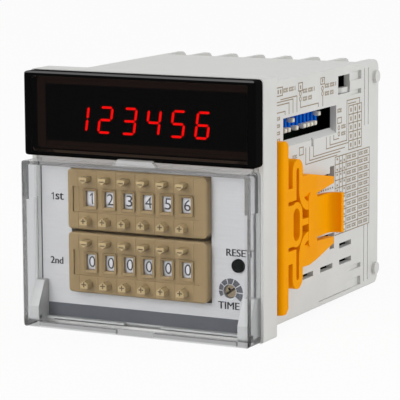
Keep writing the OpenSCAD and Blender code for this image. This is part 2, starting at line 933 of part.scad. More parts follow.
// Digit wheel with a bore for its axle and a ratchet beside the rim
module digit_wheel(i, z) {
    x0 = column_x(i) + window_dx - wheel_w / 2;
    color("white") translate([0, wheel_y, z + window_dz]) difference() {
        union() {
            rod_x(wheel_r, x0, x0 + wheel_w, 0, 0);
            along_x(x0 + wheel_w - merge, x0 + wheel_w + ratchet_w) polygon([
                for (k = [0 : 2 * wheel_teeth - 1])
                    let(r = k % 2 == 0 ? ratchet_r : ratchet_r - ratchet_depth, a = k * 180 / wheel_teeth)
                    [r * cos(a), r * sin(a)]
            ]);
        }
        rod_x(axle_r + run_fit, x0 - past, x0 + wheel_w + ratchet_w + past, 0, 0);
    }
}

module reset_button() {
    color([0.1, 0.1, 0.1]) translate([reset_at[0], 0, reset_at[1]]) {
        rod_y(reset_r, sheet_y - reset_proud, bezel_back + reset_rim_t, 0, 0);
        rod_y(reset_rim_r, bezel_back + seat, bezel_back + seat + reset_rim_t, 0, 0);
    }
}

module reset_switch() {
    half = reset_body_w / 2;
    plunger_y = bezel_back + 2 * seat + reset_rim_t + reset_travel;
    base_y = plunger_y + plunger_l;
    color("dimgray") translate([reset_at[0], 0, reset_at[1]]) {
        box([-half, base_y, -half], [half, front_board_y - seat, half]);
        rod_y(plunger_r, plunger_y, base_y + seat, 0, 0);
    }
}

module time_trimmer() {
    slot_d = 0.7;
    slot_turn = 35;
    slot_arm = 1.1;
    half = trimmer_slot / 2;
    front = sheet_y + trimmer_sunk;
    back = bezel_back + seat;
    color("peru") translate([trimmer_at[0], 0, trimmer_at[1]]) difference() {
        union() {
            rod_y(trimmer_r, front, back, 0, 0);
            rod_y(trimmer_stem_r, back - seat, back + trimmer_stem_l, 0, 0);
        }
        rotate([0, -slot_turn, 0]) {
            box([-trimmer_r - past, front - past, -half], [trimmer_r + past, front + slot_d, half]);
            box([-half, front - past, 0], [half, front + slot_d, slot_arm]);
        }
    }
}

module trimmer_body() {
    half = trimmer_body_w / 2;
    front = bezel_back + 2 * seat;
    color("royalblue") translate([trimmer_at[0], 0, trimmer_at[1]]) difference() {
        box([-half, front, -half], [half, front_board_y - seat, half]);
        rod_y(trimmer_stem_r + run_fit, front - past, front + trimmer_stem_l, 0, 0);
    }
}

function lever_y(i) = side_window_mid + (i - (len(lever_set) - 1) / 2) * lever_pitch;

// Body of the option switch on the main board, with a slot for each lever
module option_switch() {
    y0 = lever_y(0) - option_margin;
    y1 = lever_y(len(lever_set) - 1) + option_margin;
    z0 = lever_low_z - option_low;
    slot_half = lever_neck[1] / 2 + seat;
    color("blue") difference() {
        box([board_x + seat, y0, z0], [lever_base_x, y1, lever_top_z + option_margin]);
        for (i = [0 : len(lever_set) - 1]) {
            box(
                [lever_base_x - slot_depth, lever_y(i) - slot_half, z0 - past],
                [lever_base_x + past, lever_y(i) + slot_half, lever_top_z]
            );
        }
    }
}

module option_levers() {
    color("white") for (i = [0 : len(lever_set) - 1]) {
        if (lever_set[i] >= 0) {
            z = lever_low_z + lever_set[i] * lever_up;
            translate([lever_base_x - slot_depth + seat, lever_y(i), z]) lever();
        }
    }
}

// Lever with a narrow neck in its slot and a round head
module lever() {
    neck_l = slot_depth - seat + lever_neck[0];
    head_l = lever_l - lever_neck[0];
    half = lever_neck[1] / 2;
    box([0, -half, -half], [neck_l + merge, half, half]);
    translate([neck_l, 0, 0]) intersection() {
        along_z(-lever_h, lever_h) round_end(0, head_l, lever_w, lever_tip_r);
        along_y(-lever_w, lever_w) round_end(0, head_l, lever_h, lever_tip_r);
    }
}

module right_bracket() {
    color("orange") bracket();
}

module left_bracket() {
    color("orange") mirror([1, 0, 0]) bracket();
}

// Clamping clip: foot, two spring loops, an oval spring, a plate with two hooked prongs, and a tab
module bracket() {
    low = side_x + bracket_lift;
    high = side_x + bracket_h;
    translate([0, 0, bracket_z]) {
        bracket_foot(low, high);
        along_x(low, high) mirror_pair() bracket_springs();
        along_x(low, high - pocket_d) mirror_pair() pocket_floor();
        along_x(low, high - plate_d) mirror_pair()
            translate([plate_y, 0]) square([plate_end - plate_y, prong_top - plate_step]);
        along_x(high - merge, high + seat) mirror_pair() bracket_rib();
        mirror_z() bracket_prong(low, high - plate_d);
        bracket_tab(high - plate_d);
    }
}

// Flat shape repeated about the X axis of its plane
module mirror_pair() {
    children();
    mirror([0, 1]) children();
}

// Solid repeated about the bracket's middle
module mirror_z() {
    children();
    mirror([0, 0, 1]) children();
}

// Bar that presses on the panel, with a round front edge and pointed ends
module bracket_foot(low, high) {
    half = foot_l / 2;
    intersection() {
        along_x(low, high) mirror_pair() polygon([
            [foot_y, 0], [foot_end, 0], [foot_end, half - foot_tip],
            [foot_end - foot_tip, half], [foot_y, half]
        ]);
        along_z(-half, half) {
            translate([low, foot_y]) square([high - foot_r - low, foot_d]);
            translate([low, foot_y + foot_r]) square([high - low, foot_d - foot_r]);
            translate([high - foot_r, foot_y + foot_r]) circle(foot_r);
        }
    }
}

// Upper half of the springs between the foot and the plate, in Y and Z
module bracket_springs() {
    ring_end = ring_y + ring_w;
    translate([foot_end - merge, leg_root]) square([leg_y - foot_end + 2 * merge, bridge_top - leg_root]);
    spring_loop();
    spring_arm();
    oval_half();
    translate([ring_end - merge, 0]) square([plate_y - ring_end + 2 * merge, web_half]);
}

// Upper half of the rib across the plate
module bracket_rib() {
    r = rib_w / 2;
    translate([plate_y, 0]) square([rib_w, rib_half - r]);
    translate([plate_y + r, rib_half - r]) circle(r);
}

// Floor between the quarter bend and the plate
module pocket_floor() {
    intersection() {
        translate([arm_y, arm_z]) circle(arm_r - leg_w / 2);
        translate([leg2_y, 0]) square([arm_r, arm_z]);
    }
}

// Two legs joined by a round bend at the top
module spring_loop() {
    loop_w = 2 * leg_w + loop_gap;
    bend = loop_w / 2;
    difference() {
        union() {
            translate([leg_y, leg_root]) square([loop_w, loop_top - bend - leg_root]);
            translate([leg_y + bend, loop_top - bend]) circle(bend);
        }
        translate([leg_y + leg_w, leg_root - past]) square([loop_gap, loop_top - bend - leg_root + past]);
        translate([leg_y + bend, loop_top - bend]) circle(loop_gap / 2);
        translate([leg_y + leg_w, leg_root - past]) square([loop_w, arm_z - leg_root + past]);
    }
}

// Quarter bend from the second leg down into the plate
module spring_arm() {
    intersection() {
        difference() {
            translate([arm_y, arm_z]) circle(arm_r);
            translate([arm_y, arm_z]) circle(arm_r - leg_w);
        }
        translate([leg2_y - past, 0]) square([arm_r + past + seat, arm_z + seat]);
    }
    translate([leg2_y, arm_z]) square([leg_w, arm_l]);
}

// Upper half of the oval spring, joined to the foot over most of its height
module oval_half() {
    r = ring_w / 2;
    mid = ring_y + r;
    bend_z = ring_half - r;
    difference() {
        union() {
            translate([mid, bend_z]) circle(r);
            translate([ring_y, 0]) square([ring_w, bend_z]);
            translate([foot_end - merge, 0]) square([mid - foot_end + merge, ring_half - merge]);
        }
        translate([mid, bend_z]) circle(r - ring_wall);
        translate([ring_y + ring_wall, -past]) square([ring_w - 2 * ring_wall, bend_z + past]);
        translate([0, -2 * r]) square([2 * mid, 2 * r]);
    }
}

// Prong that ramps down to a hook in the body's slot
module bracket_prong(low, high) {
    root_y = leg2_y + leg_w - merge;
    top_y = plate_y + rib_w / 2;
    intersection() {
        along_x(low, high) polygon([
            [root_y, prong_low], [root_y, prong_top - 2 * seat], [top_y, prong_top], [prong_tip, prong_z[1]],
            [prong_tip, prong_z[0]], [plate_end + merge, prong_low]
        ]);
        along_z(0, flange_w) polygon([
            [low, root_y], [high, root_y], [high, plate_end], [side_x + prong_t, prong_tip], [low, prong_tip]
        ]);
    }
    hook_x = side_x - hook_depth;
    ramp_y = prong_tip - hook_l - hook_ramp;
    along_z(hook_z[0], hook_z[1]) polygon([
        [low + merge, prong_tip], [hook_x, prong_tip], [hook_x, prong_tip - hook_l],
        [low, ramp_y], [low + merge, ramp_y]
    ]);
}

// Finger tab that bends outwards at its end
module bracket_tab(top_x) {
    bend_x = top_x + tab_bend_r;
    bend_out = tab_bend_r + tab_plate_t;
    along_z(-tab_half, tab_half) {
        translate([top_x - tab_plate_t, plate_end - merge])
            square([tab_plate_t, tab_bend - plate_end + merge]);
        intersection() {
            difference() {
                translate([bend_x, tab_bend]) circle(bend_out);
                translate([bend_x, tab_bend]) circle(tab_bend_r);
            }
            translate([bend_x - bend_out - past, tab_bend - seat])
                square([bend_out + past, bend_out + past]);
        }
        translate([bend_x - seat, tab_bend + tab_bend_r]) square([tab_tip + seat, tab_plate_t]);
    }
}

module front_board() {
    half_w = inner_x - 3 * seat;
    half_h = inner_z - 3 * seat;
    color("darkgreen") difference() {
        slab(2 * half_w, 2 * half_h, front_board_y, front_board_y + board_t, body_r);
        bank_opening(4 * seat);
    }
}

module main_board() {
    color("darkgreen") box(
        [board_x - board_t, bank_back + 4 * seat, board_in - inner_z],
        [board_x, block_front - 2 * seat, inner_z - board_in]
    );
}

// Core with its winding, on the main board's inner face
module power_transformer() {
    back_x = board_x - board_t - seat;
    coil_x = back_x - coil_lift;
    coil_y = [bank_back + board_gap, block_front - relay_end - relay[1] - board_gap];
    color("dimgray") {
        box(
            [back_x - core[0], coil_y[0] + coil_over, -core[1] / 2],
            [back_x, coil_y[1] - coil_over, core[1] / 2]
        );
        box([coil_x - coil[0], coil_y[0], -coil[1] / 2], [coil_x, coil_y[1], coil[1] / 2]);
    }
}

module output_relays() {
    back_x = board_x - board_t - seat;
    end_y = block_front - relay_end;
    color("black") for (z = [-relay[2] - relay_gap / 2, relay_gap / 2]) {
        box([back_x - relay[0], end_y - relay[1], z], [back_x, end_y, z + relay[2]]);
    }
}

module terminal_block() {
    half_w = inner_x - seat;
    half_h = inner_z - seat;
    rear_in = 1.8;
    rear = body_depth - rear_in;
    label_in = [3, 4];
    label = [half_w - label_in[0], row_z - label_in[1]];
    label_d = 0.5;
    screw_end = 0.5;
    color("lightgray") difference() {
        union() {
            slab(2 * half_w, 2 * half_h, block_front, bay_floor, body_r);
            box([-half_w, bay_floor - merge, -row_z], [half_w, rear, row_z]);
            for (i = [1 : terminals - 1]) {
                along_x(barrier_x(i) - barrier_t / 2, barrier_x(i) + barrier_t / 2) mirror_pair() barrier();
            }
            both_sides() latch_tongue();
        }
        box([-label[0], rear - label_d, -label[1]], [label[0], rear + past, label[1]]);
        for (p = screw_places()) {
            rod_y(screw_r + seat, bay_floor - screw_l - screw_end, bay_floor + past, p[0], p[1]);
        }
    }
}

// Upper half of a barrier in Y and Z, with a round outer corner
module barrier() {
    high = body_h / 2;
    depth = body_depth - bay_floor + merge;
    translate([bay_floor - merge, row_z - merge]) square([depth, high - ear_r - row_z + merge]);
    translate([bay_floor - merge, row_z]) square([depth - ear_r, high - row_z]);
    translate([body_depth - ear_r, high - ear_r]) circle(ear_r);
    translate([roof_end + seat, inner_z - merge]) square([bay_floor - roof_end, wall + merge]);
}

// Spring tongue that snaps into the body's latch hole
module latch_tongue() {
    root_x = inner_x - seat;
    arm_t = 1.2;
    head_in = 0.5;
    head_ramp = 2;
    head_x = side_x - head_in;
    box([root_x - arm_t, tongue_y[0], tongue_z[0]], [root_x, block_front + merge, tongue_z[1]]);
    along_z(tongue_z[0], tongue_z[1]) polygon([
        [root_x - merge, tongue_y[0]], [root_x - merge, tongue_y[1]], [head_x, tongue_y[1]],
        [head_x, tongue_y[0] + head_ramp], [root_x, tongue_y[0]]
    ]);
}

function screw_places() = [
    for (i = [0 : terminals - 1], s = [-1, 1]) [barrier_x(i) + terminal_pitch / 2, s * screw_z]
];

module terminal_screws() {
    color("silver") for (p = screw_places()) {
        translate([p[0], bay_floor + seat / 2, p[1]]) terminal_screw();
    }
}

// Screw with a captive square washer and a cross recess
module terminal_screw() {
    washer_room = 0.8;
    side = terminal_pitch - barrier_t - washer_room;
    head = washer_t + screw_head_h;
    cross = [0.9, 3.6];
    cross_d = 1.2;
    difference() {
        union() {
            box([-side / 2, 0, -side / 2], [side / 2, washer_t, side / 2]);
            rod_y(screw_head_r, washer_t - seat, head, 0, 0);
            rod_y(screw_r, -screw_l, seat, 0, 0);
        }
        box([-cross[0] / 2, head - cross_d, -cross[1] / 2], [cross[0] / 2, head + past, cross[1] / 2]);
        box([-cross[1] / 2, head - cross_d, -cross[0] / 2], [cross[1] / 2, head + past, cross[0] / 2]);
    }
}

// Name of a numbered node
function numbered(stem, i) = str(stem, "_", i + 1);

case();
front_bezel();
front_plate();
display_window();
led_display();
led_segments();
front_cover();
upper_switches();
lower_switches();
switch_end_plates();
for (i = [0 : columns - 1]) {
    digit_wheel(i, bank_z);
    digit_wheel(i, lower_z);
    bank_button(i, bank_z, 1);
    bank_button(i, bank_z, -1);
    bank_button(i, lower_z, 1);
    bank_button(i, lower_z, -1);
}
reset_button();
reset_switch();
time_trimmer();
trimmer_body();
option_switch();
option_levers();
right_bracket();
left_bracket();
front_board();
main_board();
power_transformer();
output_relays();
terminal_block();
terminal_screws();
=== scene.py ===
"""Looks of a panel counter: finishes for its solids, printed marks, studio and camera."""

import math

import bmesh
import bpy
from bpy.props import FloatProperty, FloatVectorProperty, PointerProperty
from mathutils import Matrix, Vector


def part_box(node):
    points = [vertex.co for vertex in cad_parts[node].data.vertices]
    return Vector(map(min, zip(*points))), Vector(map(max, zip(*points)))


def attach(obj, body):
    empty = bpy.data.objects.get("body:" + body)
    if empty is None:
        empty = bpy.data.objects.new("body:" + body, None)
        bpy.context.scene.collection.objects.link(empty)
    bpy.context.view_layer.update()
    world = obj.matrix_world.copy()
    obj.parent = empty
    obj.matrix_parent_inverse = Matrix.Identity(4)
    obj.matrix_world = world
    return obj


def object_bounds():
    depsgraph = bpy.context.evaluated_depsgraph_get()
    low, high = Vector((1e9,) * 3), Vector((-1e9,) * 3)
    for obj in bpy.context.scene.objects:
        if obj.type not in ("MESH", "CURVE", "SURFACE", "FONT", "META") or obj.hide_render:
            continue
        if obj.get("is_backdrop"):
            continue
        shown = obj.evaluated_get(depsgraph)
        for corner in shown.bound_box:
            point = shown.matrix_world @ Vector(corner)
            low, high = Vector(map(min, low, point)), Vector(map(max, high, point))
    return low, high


bl_info = {
    "name": "Panel counter",
    "version": (1, 0, 0),
    "blender": (4, 5, 0),
    "location": "View3D > Sidebar > Counter",
    "description": "Dresses a panel counter with its finishes, printed marks, light and camera",
    "category": "Object",
}

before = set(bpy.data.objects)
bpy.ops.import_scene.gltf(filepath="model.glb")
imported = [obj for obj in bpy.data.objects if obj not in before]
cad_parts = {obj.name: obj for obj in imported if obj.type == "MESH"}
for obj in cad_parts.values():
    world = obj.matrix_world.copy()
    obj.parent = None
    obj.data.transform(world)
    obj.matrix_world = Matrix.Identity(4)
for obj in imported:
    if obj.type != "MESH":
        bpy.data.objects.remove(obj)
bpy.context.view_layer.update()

MM = 0.001
HOUSING = "housing"
BANKS = ("upper", "lower")
COLUMNS = range(1, 7)
SHOWN_DIGITS = {"upper": (1, 2, 3, 4, 5, 6), "lower": (0, 0, 0, 0, 0, 0)}
DIGITS_ROUND_WHEEL = 10

# Sizes of the patterns in the finishes, in millimetres
CLOUD = 14
PLASTIC_GRAIN, PLASTIC_GRAIN_DEPTH = 0.35, 0.012
METAL_GRAIN, METAL_GRAIN_DEPTH = 0.2, 0.006
SHEET_GRAIN = 0.25
INK_PATCH = 0.6
HAZE_PATCH = 6
GLOW_PATCH = 0.9

# Layers of noise in a fine grain
GRAIN_DETAIL = 2

# Height of the finger tab along the cover's top, in millimetres
COVER_TAB = 1.8


def colour_property(name, description, rgb):
    """A colour, with its default given as it looks on a screen, from 0 to 255, and held as linear light."""
    linear = [((c / 255 + 0.055) / 1.055) ** 2.4 if c > 10 else c / 255 / 12.92 for c in rgb]
    return FloatVectorProperty(
        name=name, description=description, subtype="COLOR", size=3, min=0, max=1, default=linear
    )


def length_property(name, description, millimetres):
    """A length in metres, with its default given in millimetres."""
    return FloatProperty(
        name=name, description=description, unit="LENGTH", precision=6, min=0, default=millimetres * MM
    )


def angle_property(name, description, degrees):
    """An angle, with its default given in degrees."""
    return FloatProperty(name=name, description=description, subtype="ANGLE", default=math.radians(degrees))


def power_property(name, description, watts):
    """A lamp's power."""
    return FloatProperty(name=name, description=description, unit="POWER", default=watts)


class CounterSizes(bpy.types.PropertyGroup):
    """Sizes of the printed marks."""

    ink_thickness: length_property("Ink thickness", "Thickness of every printed mark", 0.03)
    ink_lift: length_property("Ink lift", "Gap between a mark and its carrier", 0.01)
    wheel_digit_height: length_property("Wheel digit height", "Height of a digit on a wheel", 3.2)
    wheel_digit_width: length_property("Wheel digit width", "Width of a digit on a wheel", 2.0)
    caption_height: length_property("Caption height", "Height of the capitals beside the controls", 2.0)
    sign_length: length_property("Sign length", "Length of the bars of plus and minus signs", 1.5)
    sign_width: length_property("Sign width", "Width of the bars of plus and minus signs", 0.34)
    side_line: length_property("Side line", "Width of the lines printed on the side", 0.28)


class CounterColours(bpy.types.PropertyGroup):
    """Colours of the finishes."""

    case: colour_property("Case", "Light grey moulding of the case", (216, 216, 213))
    bezel: colour_property("Bezel", "Grey moulding of the front frame", (186, 187, 186))
    sheet: colour_property("Face sheet", "Silver face sheet", (198, 198, 199))
    band: colour_property("Band", "Dark band along the face sheet", (82, 84, 90))
    caption: colour_property("Captions", "Ink of the captions on the face sheet", (40, 40, 44))
    tan: colour_property("Switches", "Tan moulding of the push-wheel switches", (151, 129, 92))
    button: colour_property("Buttons", "Tan moulding of the push buttons", (187, 165, 122))
    sign: colour_property("Signs", "Ink of the signs on the buttons", (84, 64, 36))
    wheel: colour_property("Wheels", "White moulding of the digit wheels", (214, 215, 220))
    digit: colour_property("Wheel digits", "Ink of the digits on the wheels", (52, 50, 52))
    window: colour_property("Window", "Tint of the smoked window", (62, 46, 40))
    segment: colour_property("Segments", "Light of the display's segments", (255, 6, 6))
    orange: colour_property("Brackets", "Orange moulding of the brackets", (255, 164, 0))
    blue: colour_property("Option switch", "Blue moulding of the option switch", (12, 104, 214))
    lever: colour_property("Option levers", "White moulding of the option levers", (238, 232, 216))
    side_ink: colour_property("Side ink", "Ink of the marks on the side", (147, 129, 100))
    reset: colour_property("Reset button", "Black moulding of the reset button", (6, 6, 6))
    trimmer: colour_property("Trimmer", "Metal of the trimmer's rotor", (148, 134, 112))
    board: colour_property("Boards", "Solder mask of the circuit boards", (10, 26, 16))


class CounterStudio(bpy.types.PropertyGroup):
    """Camera and light."""

    lens: FloatProperty(name="Lens", description="Focal length in millimetres", default=205.9, min=20)
    camera_place: FloatVectorProperty(
        name="Camera", description="Place of the camera", subtype="TRANSLATION",
        unit="LENGTH", default=(0.296665, -0.555439, 0.098064),
    )
    yaw: angle_property("Yaw", "Turn of the camera to the left", 27.119)
    pitch: angle_property("Pitch", "Tilt of the camera downwards", 8.842)
    roll: angle_property("Roll", "Roll of the camera", -0.325)
    shift_x: FloatProperty(name="Shift X", description="Sideways shift of the view", default=0.00285)
    shift_y: FloatProperty(name="Shift Y", description="Upward shift of the view", default=-0.00313)
    key_power: power_property("Key power", "Power of the key light", 5.6)
    fill_power: power_property("Fill power", "Power of the fill light", 4.0)
    sky: FloatProperty(name="Sky", description="Strength of the light from all round", default=0.5)
    floor_glow: FloatProperty(
        name="Floor glow", description="Share of plain white in the floor that the camera sees",
        subtype="FACTOR", min=0, max=1, default=0.93,
    )


def sizes():
    return bpy.context.scene.counter_sizes


def colours():
    return bpy.context.scene.counter_colours


def studio():
    return bpy.context.scene.counter_studio


def node_box(name):
    """Lowest and highest corner of a solid at rest."""
    low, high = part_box(name)
    return Vector(low), Vector(high)


def centre(name):
    low, high = node_box(name)
    return (low + high) / 2


# Materials


def new_material(name):
    """A material with its Principled shader and its object coordinates."""
    material = bpy.data.materials.new(name)
    material.use_nodes = True
    nodes = material.node_tree.nodes
    shader = nodes["Principled BSDF"]
    place = nodes.new("ShaderNodeTexCoord").outputs["Object"]
    return material, shader, place


def add_noise(material, place, size, detail=3):
    """A pattern of soft patches, about as large as a size in millimetres."""
    noise = material.node_tree.nodes.new("ShaderNodeTexNoise")
    noise.inputs["Scale"].default_value = 1 / (size * MM)
    noise.inputs["Detail"].default_value = detail
    material.node_tree.links.new(place, noise.inputs["Vector"])
    return noise.outputs["Fac"]


def add_ramp(material, factor, low, high, span=(0.35, 0.65)):
    """Colours from low to high over the middle of a factor's range."""
    ramp = material.node_tree.nodes.new("ShaderNodeValToRGB")
    for element, position, colour in zip(ramp.color_ramp.elements, span, (low, high)):
        element.position = position
        element.color = (*colour, 1)
    material.node_tree.links.new(factor, ramp.inputs["Fac"])
    return ramp.outputs["Color"]


def grey(value):
    return (value, value, value)


def shade(colour, factor):
    return tuple(min(1, c * factor) for c in colour)


def add_bump(material, shader, height, depth):
    """Raises a finish's pattern by a depth in millimetres."""
    bump = material.node_tree.nodes.new("ShaderNodeBump")
    bump.inputs["Strength"].default_value = 1
    bump.inputs["Distance"].default_value = depth * MM
    material.node_tree.links.new(height, bump.inputs["Height"])
    material.node_tree.links.new(bump.outputs["Normal"], shader.inputs["Normal"])


def moulded(name, colour, roughness=0.45, mottle=0.03, specular=0.5):
    """Moulded plastic with a fine spark-eroded grain and a faint mottle."""
    spread = 0.05
    material, shader, place = new_material(name)
    shader.inputs["Specular IOR Level"].default_value = specular
    links = material.node_tree.links
    cloud = add_noise(material, place, CLOUD)
    grains = add_noise(material, place, PLASTIC_GRAIN, GRAIN_DETAIL)
    links.new(
        add_ramp(material, cloud, shade(colour, 1 - mottle), shade(colour, 1 + mottle)),
        shader.inputs["Base Color"],
    )
    links.new(
        add_ramp(material, cloud, grey(roughness - spread), grey(roughness + spread)),
        shader.inputs["Roughness"],
    )
    add_bump(material, shader, grains, PLASTIC_GRAIN_DEPTH)
    return material


def ink(name, colour):
    """Printed ink with slightly uneven cover."""
    thick, thin = 0.9, 1.08
    material, shader, place = new_material(name)
    cover = add_noise(material, place, INK_PATCH)
    material.node_tree.links.new(
        add_ramp(material, cover, shade(colour, thick), shade(colour, thin)), shader.inputs["Base Color"]
    )
    shader.inputs["Roughness"].default_value = 0.55
    return material


def brushed_sheet(name, colour):
    """Silver face sheet with a faint brushed grain along X."""
    length = 25
    uneven = 0.03
    smooth, rough = 0.36, 0.46
    material, shader, place = new_material(name)
    tree = material.node_tree
    stretch = tree.nodes.new("ShaderNodeMapping")
    stretch.inputs["Scale"].default_value = (1 / length, 1, 1)
    tree.links.new(place, stretch.inputs["Vector"])
    streaks = add_noise(material, stretch.outputs["Vector"], SHEET_GRAIN, GRAIN_DETAIL)
    tree.links.new(
        add_ramp(material, streaks, shade(colour, 1 - uneven), shade(colour, 1 + uneven)),
        shader.inputs["Base Color"],
    )
    tree.links.new(add_ramp(material, streaks, grey(smooth), grey(rough)), shader.inputs["Roughness"])
    shader.inputs["Metallic"].default_value = 0.15
    return material


def metal(name, colour, roughness=0.35):
    """Plated or machined metal with a fine grain."""
    uneven = 0.1
    spread = 0.08
    material, shader, place = new_material(name)
    grains = add_noise(material, place, METAL_GRAIN, GRAIN_DETAIL)
    links = material.node_tree.links
    links.new(
        add_ramp(material, grains, shade(colour, 1 - uneven), shade(colour, 1 + uneven)),
        shader.inputs["Base Color"],
    )
    links.new(
        add_ramp(material, grains, grey(roughness - spread), grey(roughness + spread)),
        shader.inputs["Roughness"],
    )
    shader.inputs["Metallic"].default_value = 1
    add_bump(material, shader, grains, METAL_GRAIN_DEPTH)
    return material


def within(material, axis, low, high):
    """One where a coordinate of the object lies between two values, and nought elsewhere."""
    nodes, links = material.node_tree.nodes, material.node_tree.links
    parts = nodes.new("ShaderNodeSeparateXYZ")
    links.new(nodes.new("ShaderNodeTexCoord").outputs["Object"], parts.inputs["Vector"])
    near = nodes.new("ShaderNodeMath")
    near.operation = "COMPARE"
    near.inputs[1].default_value = (low + high) / 2
    near.inputs[2].default_value = (high - low) / 2
    links.new(parts.outputs[axis], near.inputs[0])
    return near.outputs["Value"]


def all_of(material, masks):
    """One where every mask is one."""
    tree = material.node_tree
    product = masks[0]
    for mask in masks[1:]:
        times = tree.nodes.new("ShaderNodeMath")
        times.operation = "MULTIPLY"
        tree.links.new(product, times.inputs[0])
        tree.links.new(mask, times.inputs[1])
        product = times.outputs["Value"]
    return product


def darken(material, mask, outside=1.0, inside=1.0):
    """Multiplies a finish's colour by one share where a mask is nought and by another where it is one."""
    tree = material.node_tree
    base = tree.nodes["Principled BSDF"].inputs["Base Color"]
    product = tree.nodes.new("ShaderNodeVectorMath")
    product.operation = "MULTIPLY"
    product.inputs[0].default_value = base.default_value[:3]
    for link in base.links:
        tree.links.new(link.from_socket, product.inputs[0])
    tree.links.new(add_ramp(material, mask, grey(outside), grey(inside), span=(0, 1)), product.inputs[1])
    tree.links.new(product.outputs["Vector"], base)


def clear(name, colour, passed_light, roughness, ior, shine=1, density=0):
    """Clear plastic that refracts, and lets the studio's light straight through to what is behind it.

    A density above nought also dims what is seen through a longer way in the plastic.
    """
    dimming = grey(0.5)
    material, shader, place = new_material(name)
    tree = material.node_tree
    haze = add_noise(material, place, HAZE_PATCH)
    tree.links.new(
        add_ramp(material, haze, grey(roughness), grey(2 * roughness)), shader.inputs["Roughness"]
    )
    shader.inputs["Base Color"].default_value = (*colour, 1)
    shader.inputs["Transmission Weight"].default_value = 1
    shader.inputs["IOR"].default_value = ior
    shader.inputs["Specular Tint"].default_value = (*grey(shine), 1)
    if density:
        dim = tree.nodes.new("ShaderNodeVolumeAbsorption")
        dim.inputs["Color"].default_value = (*dimming, 1)
        dim.inputs["Density"].default_value = density
        tree.links.new(dim.outputs["Volume"], tree.nodes["Material Output"].inputs["Volume"])
    path = tree.nodes.new("ShaderNodeLightPath")
    through = tree.nodes.new("ShaderNodeBsdfTransparent")
    through.inputs["Color"].default_value = (*passed_light, 1)
    mix = tree.nodes.new("ShaderNodeMixShader")
    tree.links.new(path.outputs["Is Shadow Ray"], mix.inputs["Fac"])
    tree.links.new(shader.outputs["BSDF"], mix.inputs[1])
    tree.links.new(through.outputs["BSDF"], mix.inputs[2])
    tree.links.new(mix.outputs["Shader"], tree.nodes["Material Output"].inputs["Surface"])
    return material


def lit(name, colour, strength):
    """Glowing segment with slightly uneven light, which doesn't light what is round it."""
    dimmest, unlit = 0.9, 0.3
    material, shader, place = new_material(name)
    tree = material.node_tree
    patches = add_noise(material, place, GLOW_PATCH)
    tree.links.new(
        add_ramp(material, patches, shade(colour, dimmest), colour), shader.inputs["Emission Color"]
    )
    shader.inputs["Base Color"].default_value = (*shade(colour, unlit), 1)
    path = tree.nodes.new("ShaderNodeLightPath")
    glow = tree.nodes.new("ShaderNodeMapRange")
    glow.inputs["To Min"].default_value = strength
    glow.inputs["To Max"].default_value = 0
    tree.links.new(path.outputs["Is Diffuse Ray"], glow.inputs["Value"])
    tree.links.new(glow.outputs["Result"], shader.inputs["Emission Strength"])
    material.cycles.emission_sampling = "NONE"
    return material


def finish_node(name, material):
    """Gives a solid its finish."""
    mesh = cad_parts[name].data
    mesh.materials.clear()
    mesh.materials.append(material)


# Marks


def add_piece(name, mesh, material, body):
    """Adds a piece that rides on a body."""
    piece = bpy.data.objects.new(name, mesh)
    bpy.context.scene.collection.objects.link(piece)
    mesh.materials.clear()
    mesh.materials.append(material)
    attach(piece, body)


def prisms(shapes, thickness):
    """A mesh of flat shapes in X and Y, each a closed outline, with a thickness along Z."""
    bm = bmesh.new()
    for shape in shapes:
        low = [bm.verts.new((x, y, 0)) for x, y in shape]
        high = [bm.verts.new((x, y, thickness)) for x, y in shape]
        bm.faces.new(high)
        bm.faces.new(reversed(low))
        for i in range(len(shape)):
            k = (i + 1) % len(shape)
            bm.faces.new((low[i], low[k], high[k], high[i]))
    bmesh.ops.recalc_face_normals(bm, faces=bm.faces)
    mesh = bpy.data.meshes.new("marks")
    bm.to_mesh(mesh)
    bm.free()
    return mesh


def numeral_one(width, height, thickness):
    """A mesh of the numeral one as an upright with a flag, as wide and high as asked."""
    corners = ((0.6, 0), (1, 0), (1, 1), (0.7, 1), (0, 0.82), (0, 0.68), (0.6, 0.8))
    return prisms([[(x * width, y * height) for x, y in corners]], thickness)


def lettering(text, width, height, thickness):
    """A mesh of letters in X and Y from the origin up and to the right, as wide and high as asked."""
    curve = bpy.data.curves.new("lettering", "FONT")
    curve.body = text
    curve.size = 1
    curve.resolution_u = 4
    curve.extrude = 0.5
    carrier = bpy.data.objects.new("lettering", curve)
    bpy.context.scene.collection.objects.link(carrier)
    bpy.context.view_layer.update()
    mesh = bpy.data.meshes.new_from_object(carrier.evaluated_get(bpy.context.evaluated_depsgraph_get()))
    bpy.data.objects.remove(carrier)
    bpy.data.curves.remove(curve)
    low = Vector([min(v.co[k] for v in mesh.vertices) for k in range(3)])
    high = Vector([max(v.co[k] for v in mesh.vertices) for k in range(3)])
    size = high - low
    mesh.transform(Matrix.Translation(-low))
    mesh.transform(Matrix.Diagonal((width / size.x, height / size.y, thickness / size.z, 1)))
    return mesh


def joined(meshes):
    """One mesh made of several."""
    bm = bmesh.new()
    for mesh in meshes:
        bm.from_mesh(mesh)
        bpy.data.meshes.remove(mesh)
    whole = bpy.data.meshes.new("marks")
    bm.to_mesh(whole)
    bm.free()
    return whole


def onto_front(mesh, x, y, z):
    """Lays a mark from its own X and Y plane on a surface that faces the viewer."""
    mesh.transform(Matrix(((1, 0, 0, x), (0, 0, -1, y), (0, 1, 0, z), (0, 0, 0, 1))))
    return mesh


def onto_side(mesh, x, y, z):
    """Lays a mark from its own X and Y plane on a surface that faces right."""
    mesh.transform(Matrix(((0, 0, 1, x), (1, 0, 0, y), (0, 1, 0, z), (0, 0, 0, 1))))
    return mesh


def bar(x0, y0, x1, y1):
    """Outline of an upright rectangle."""
    return [(x0, y0), (x1, y0), (x1, y1), (x0, y1)]


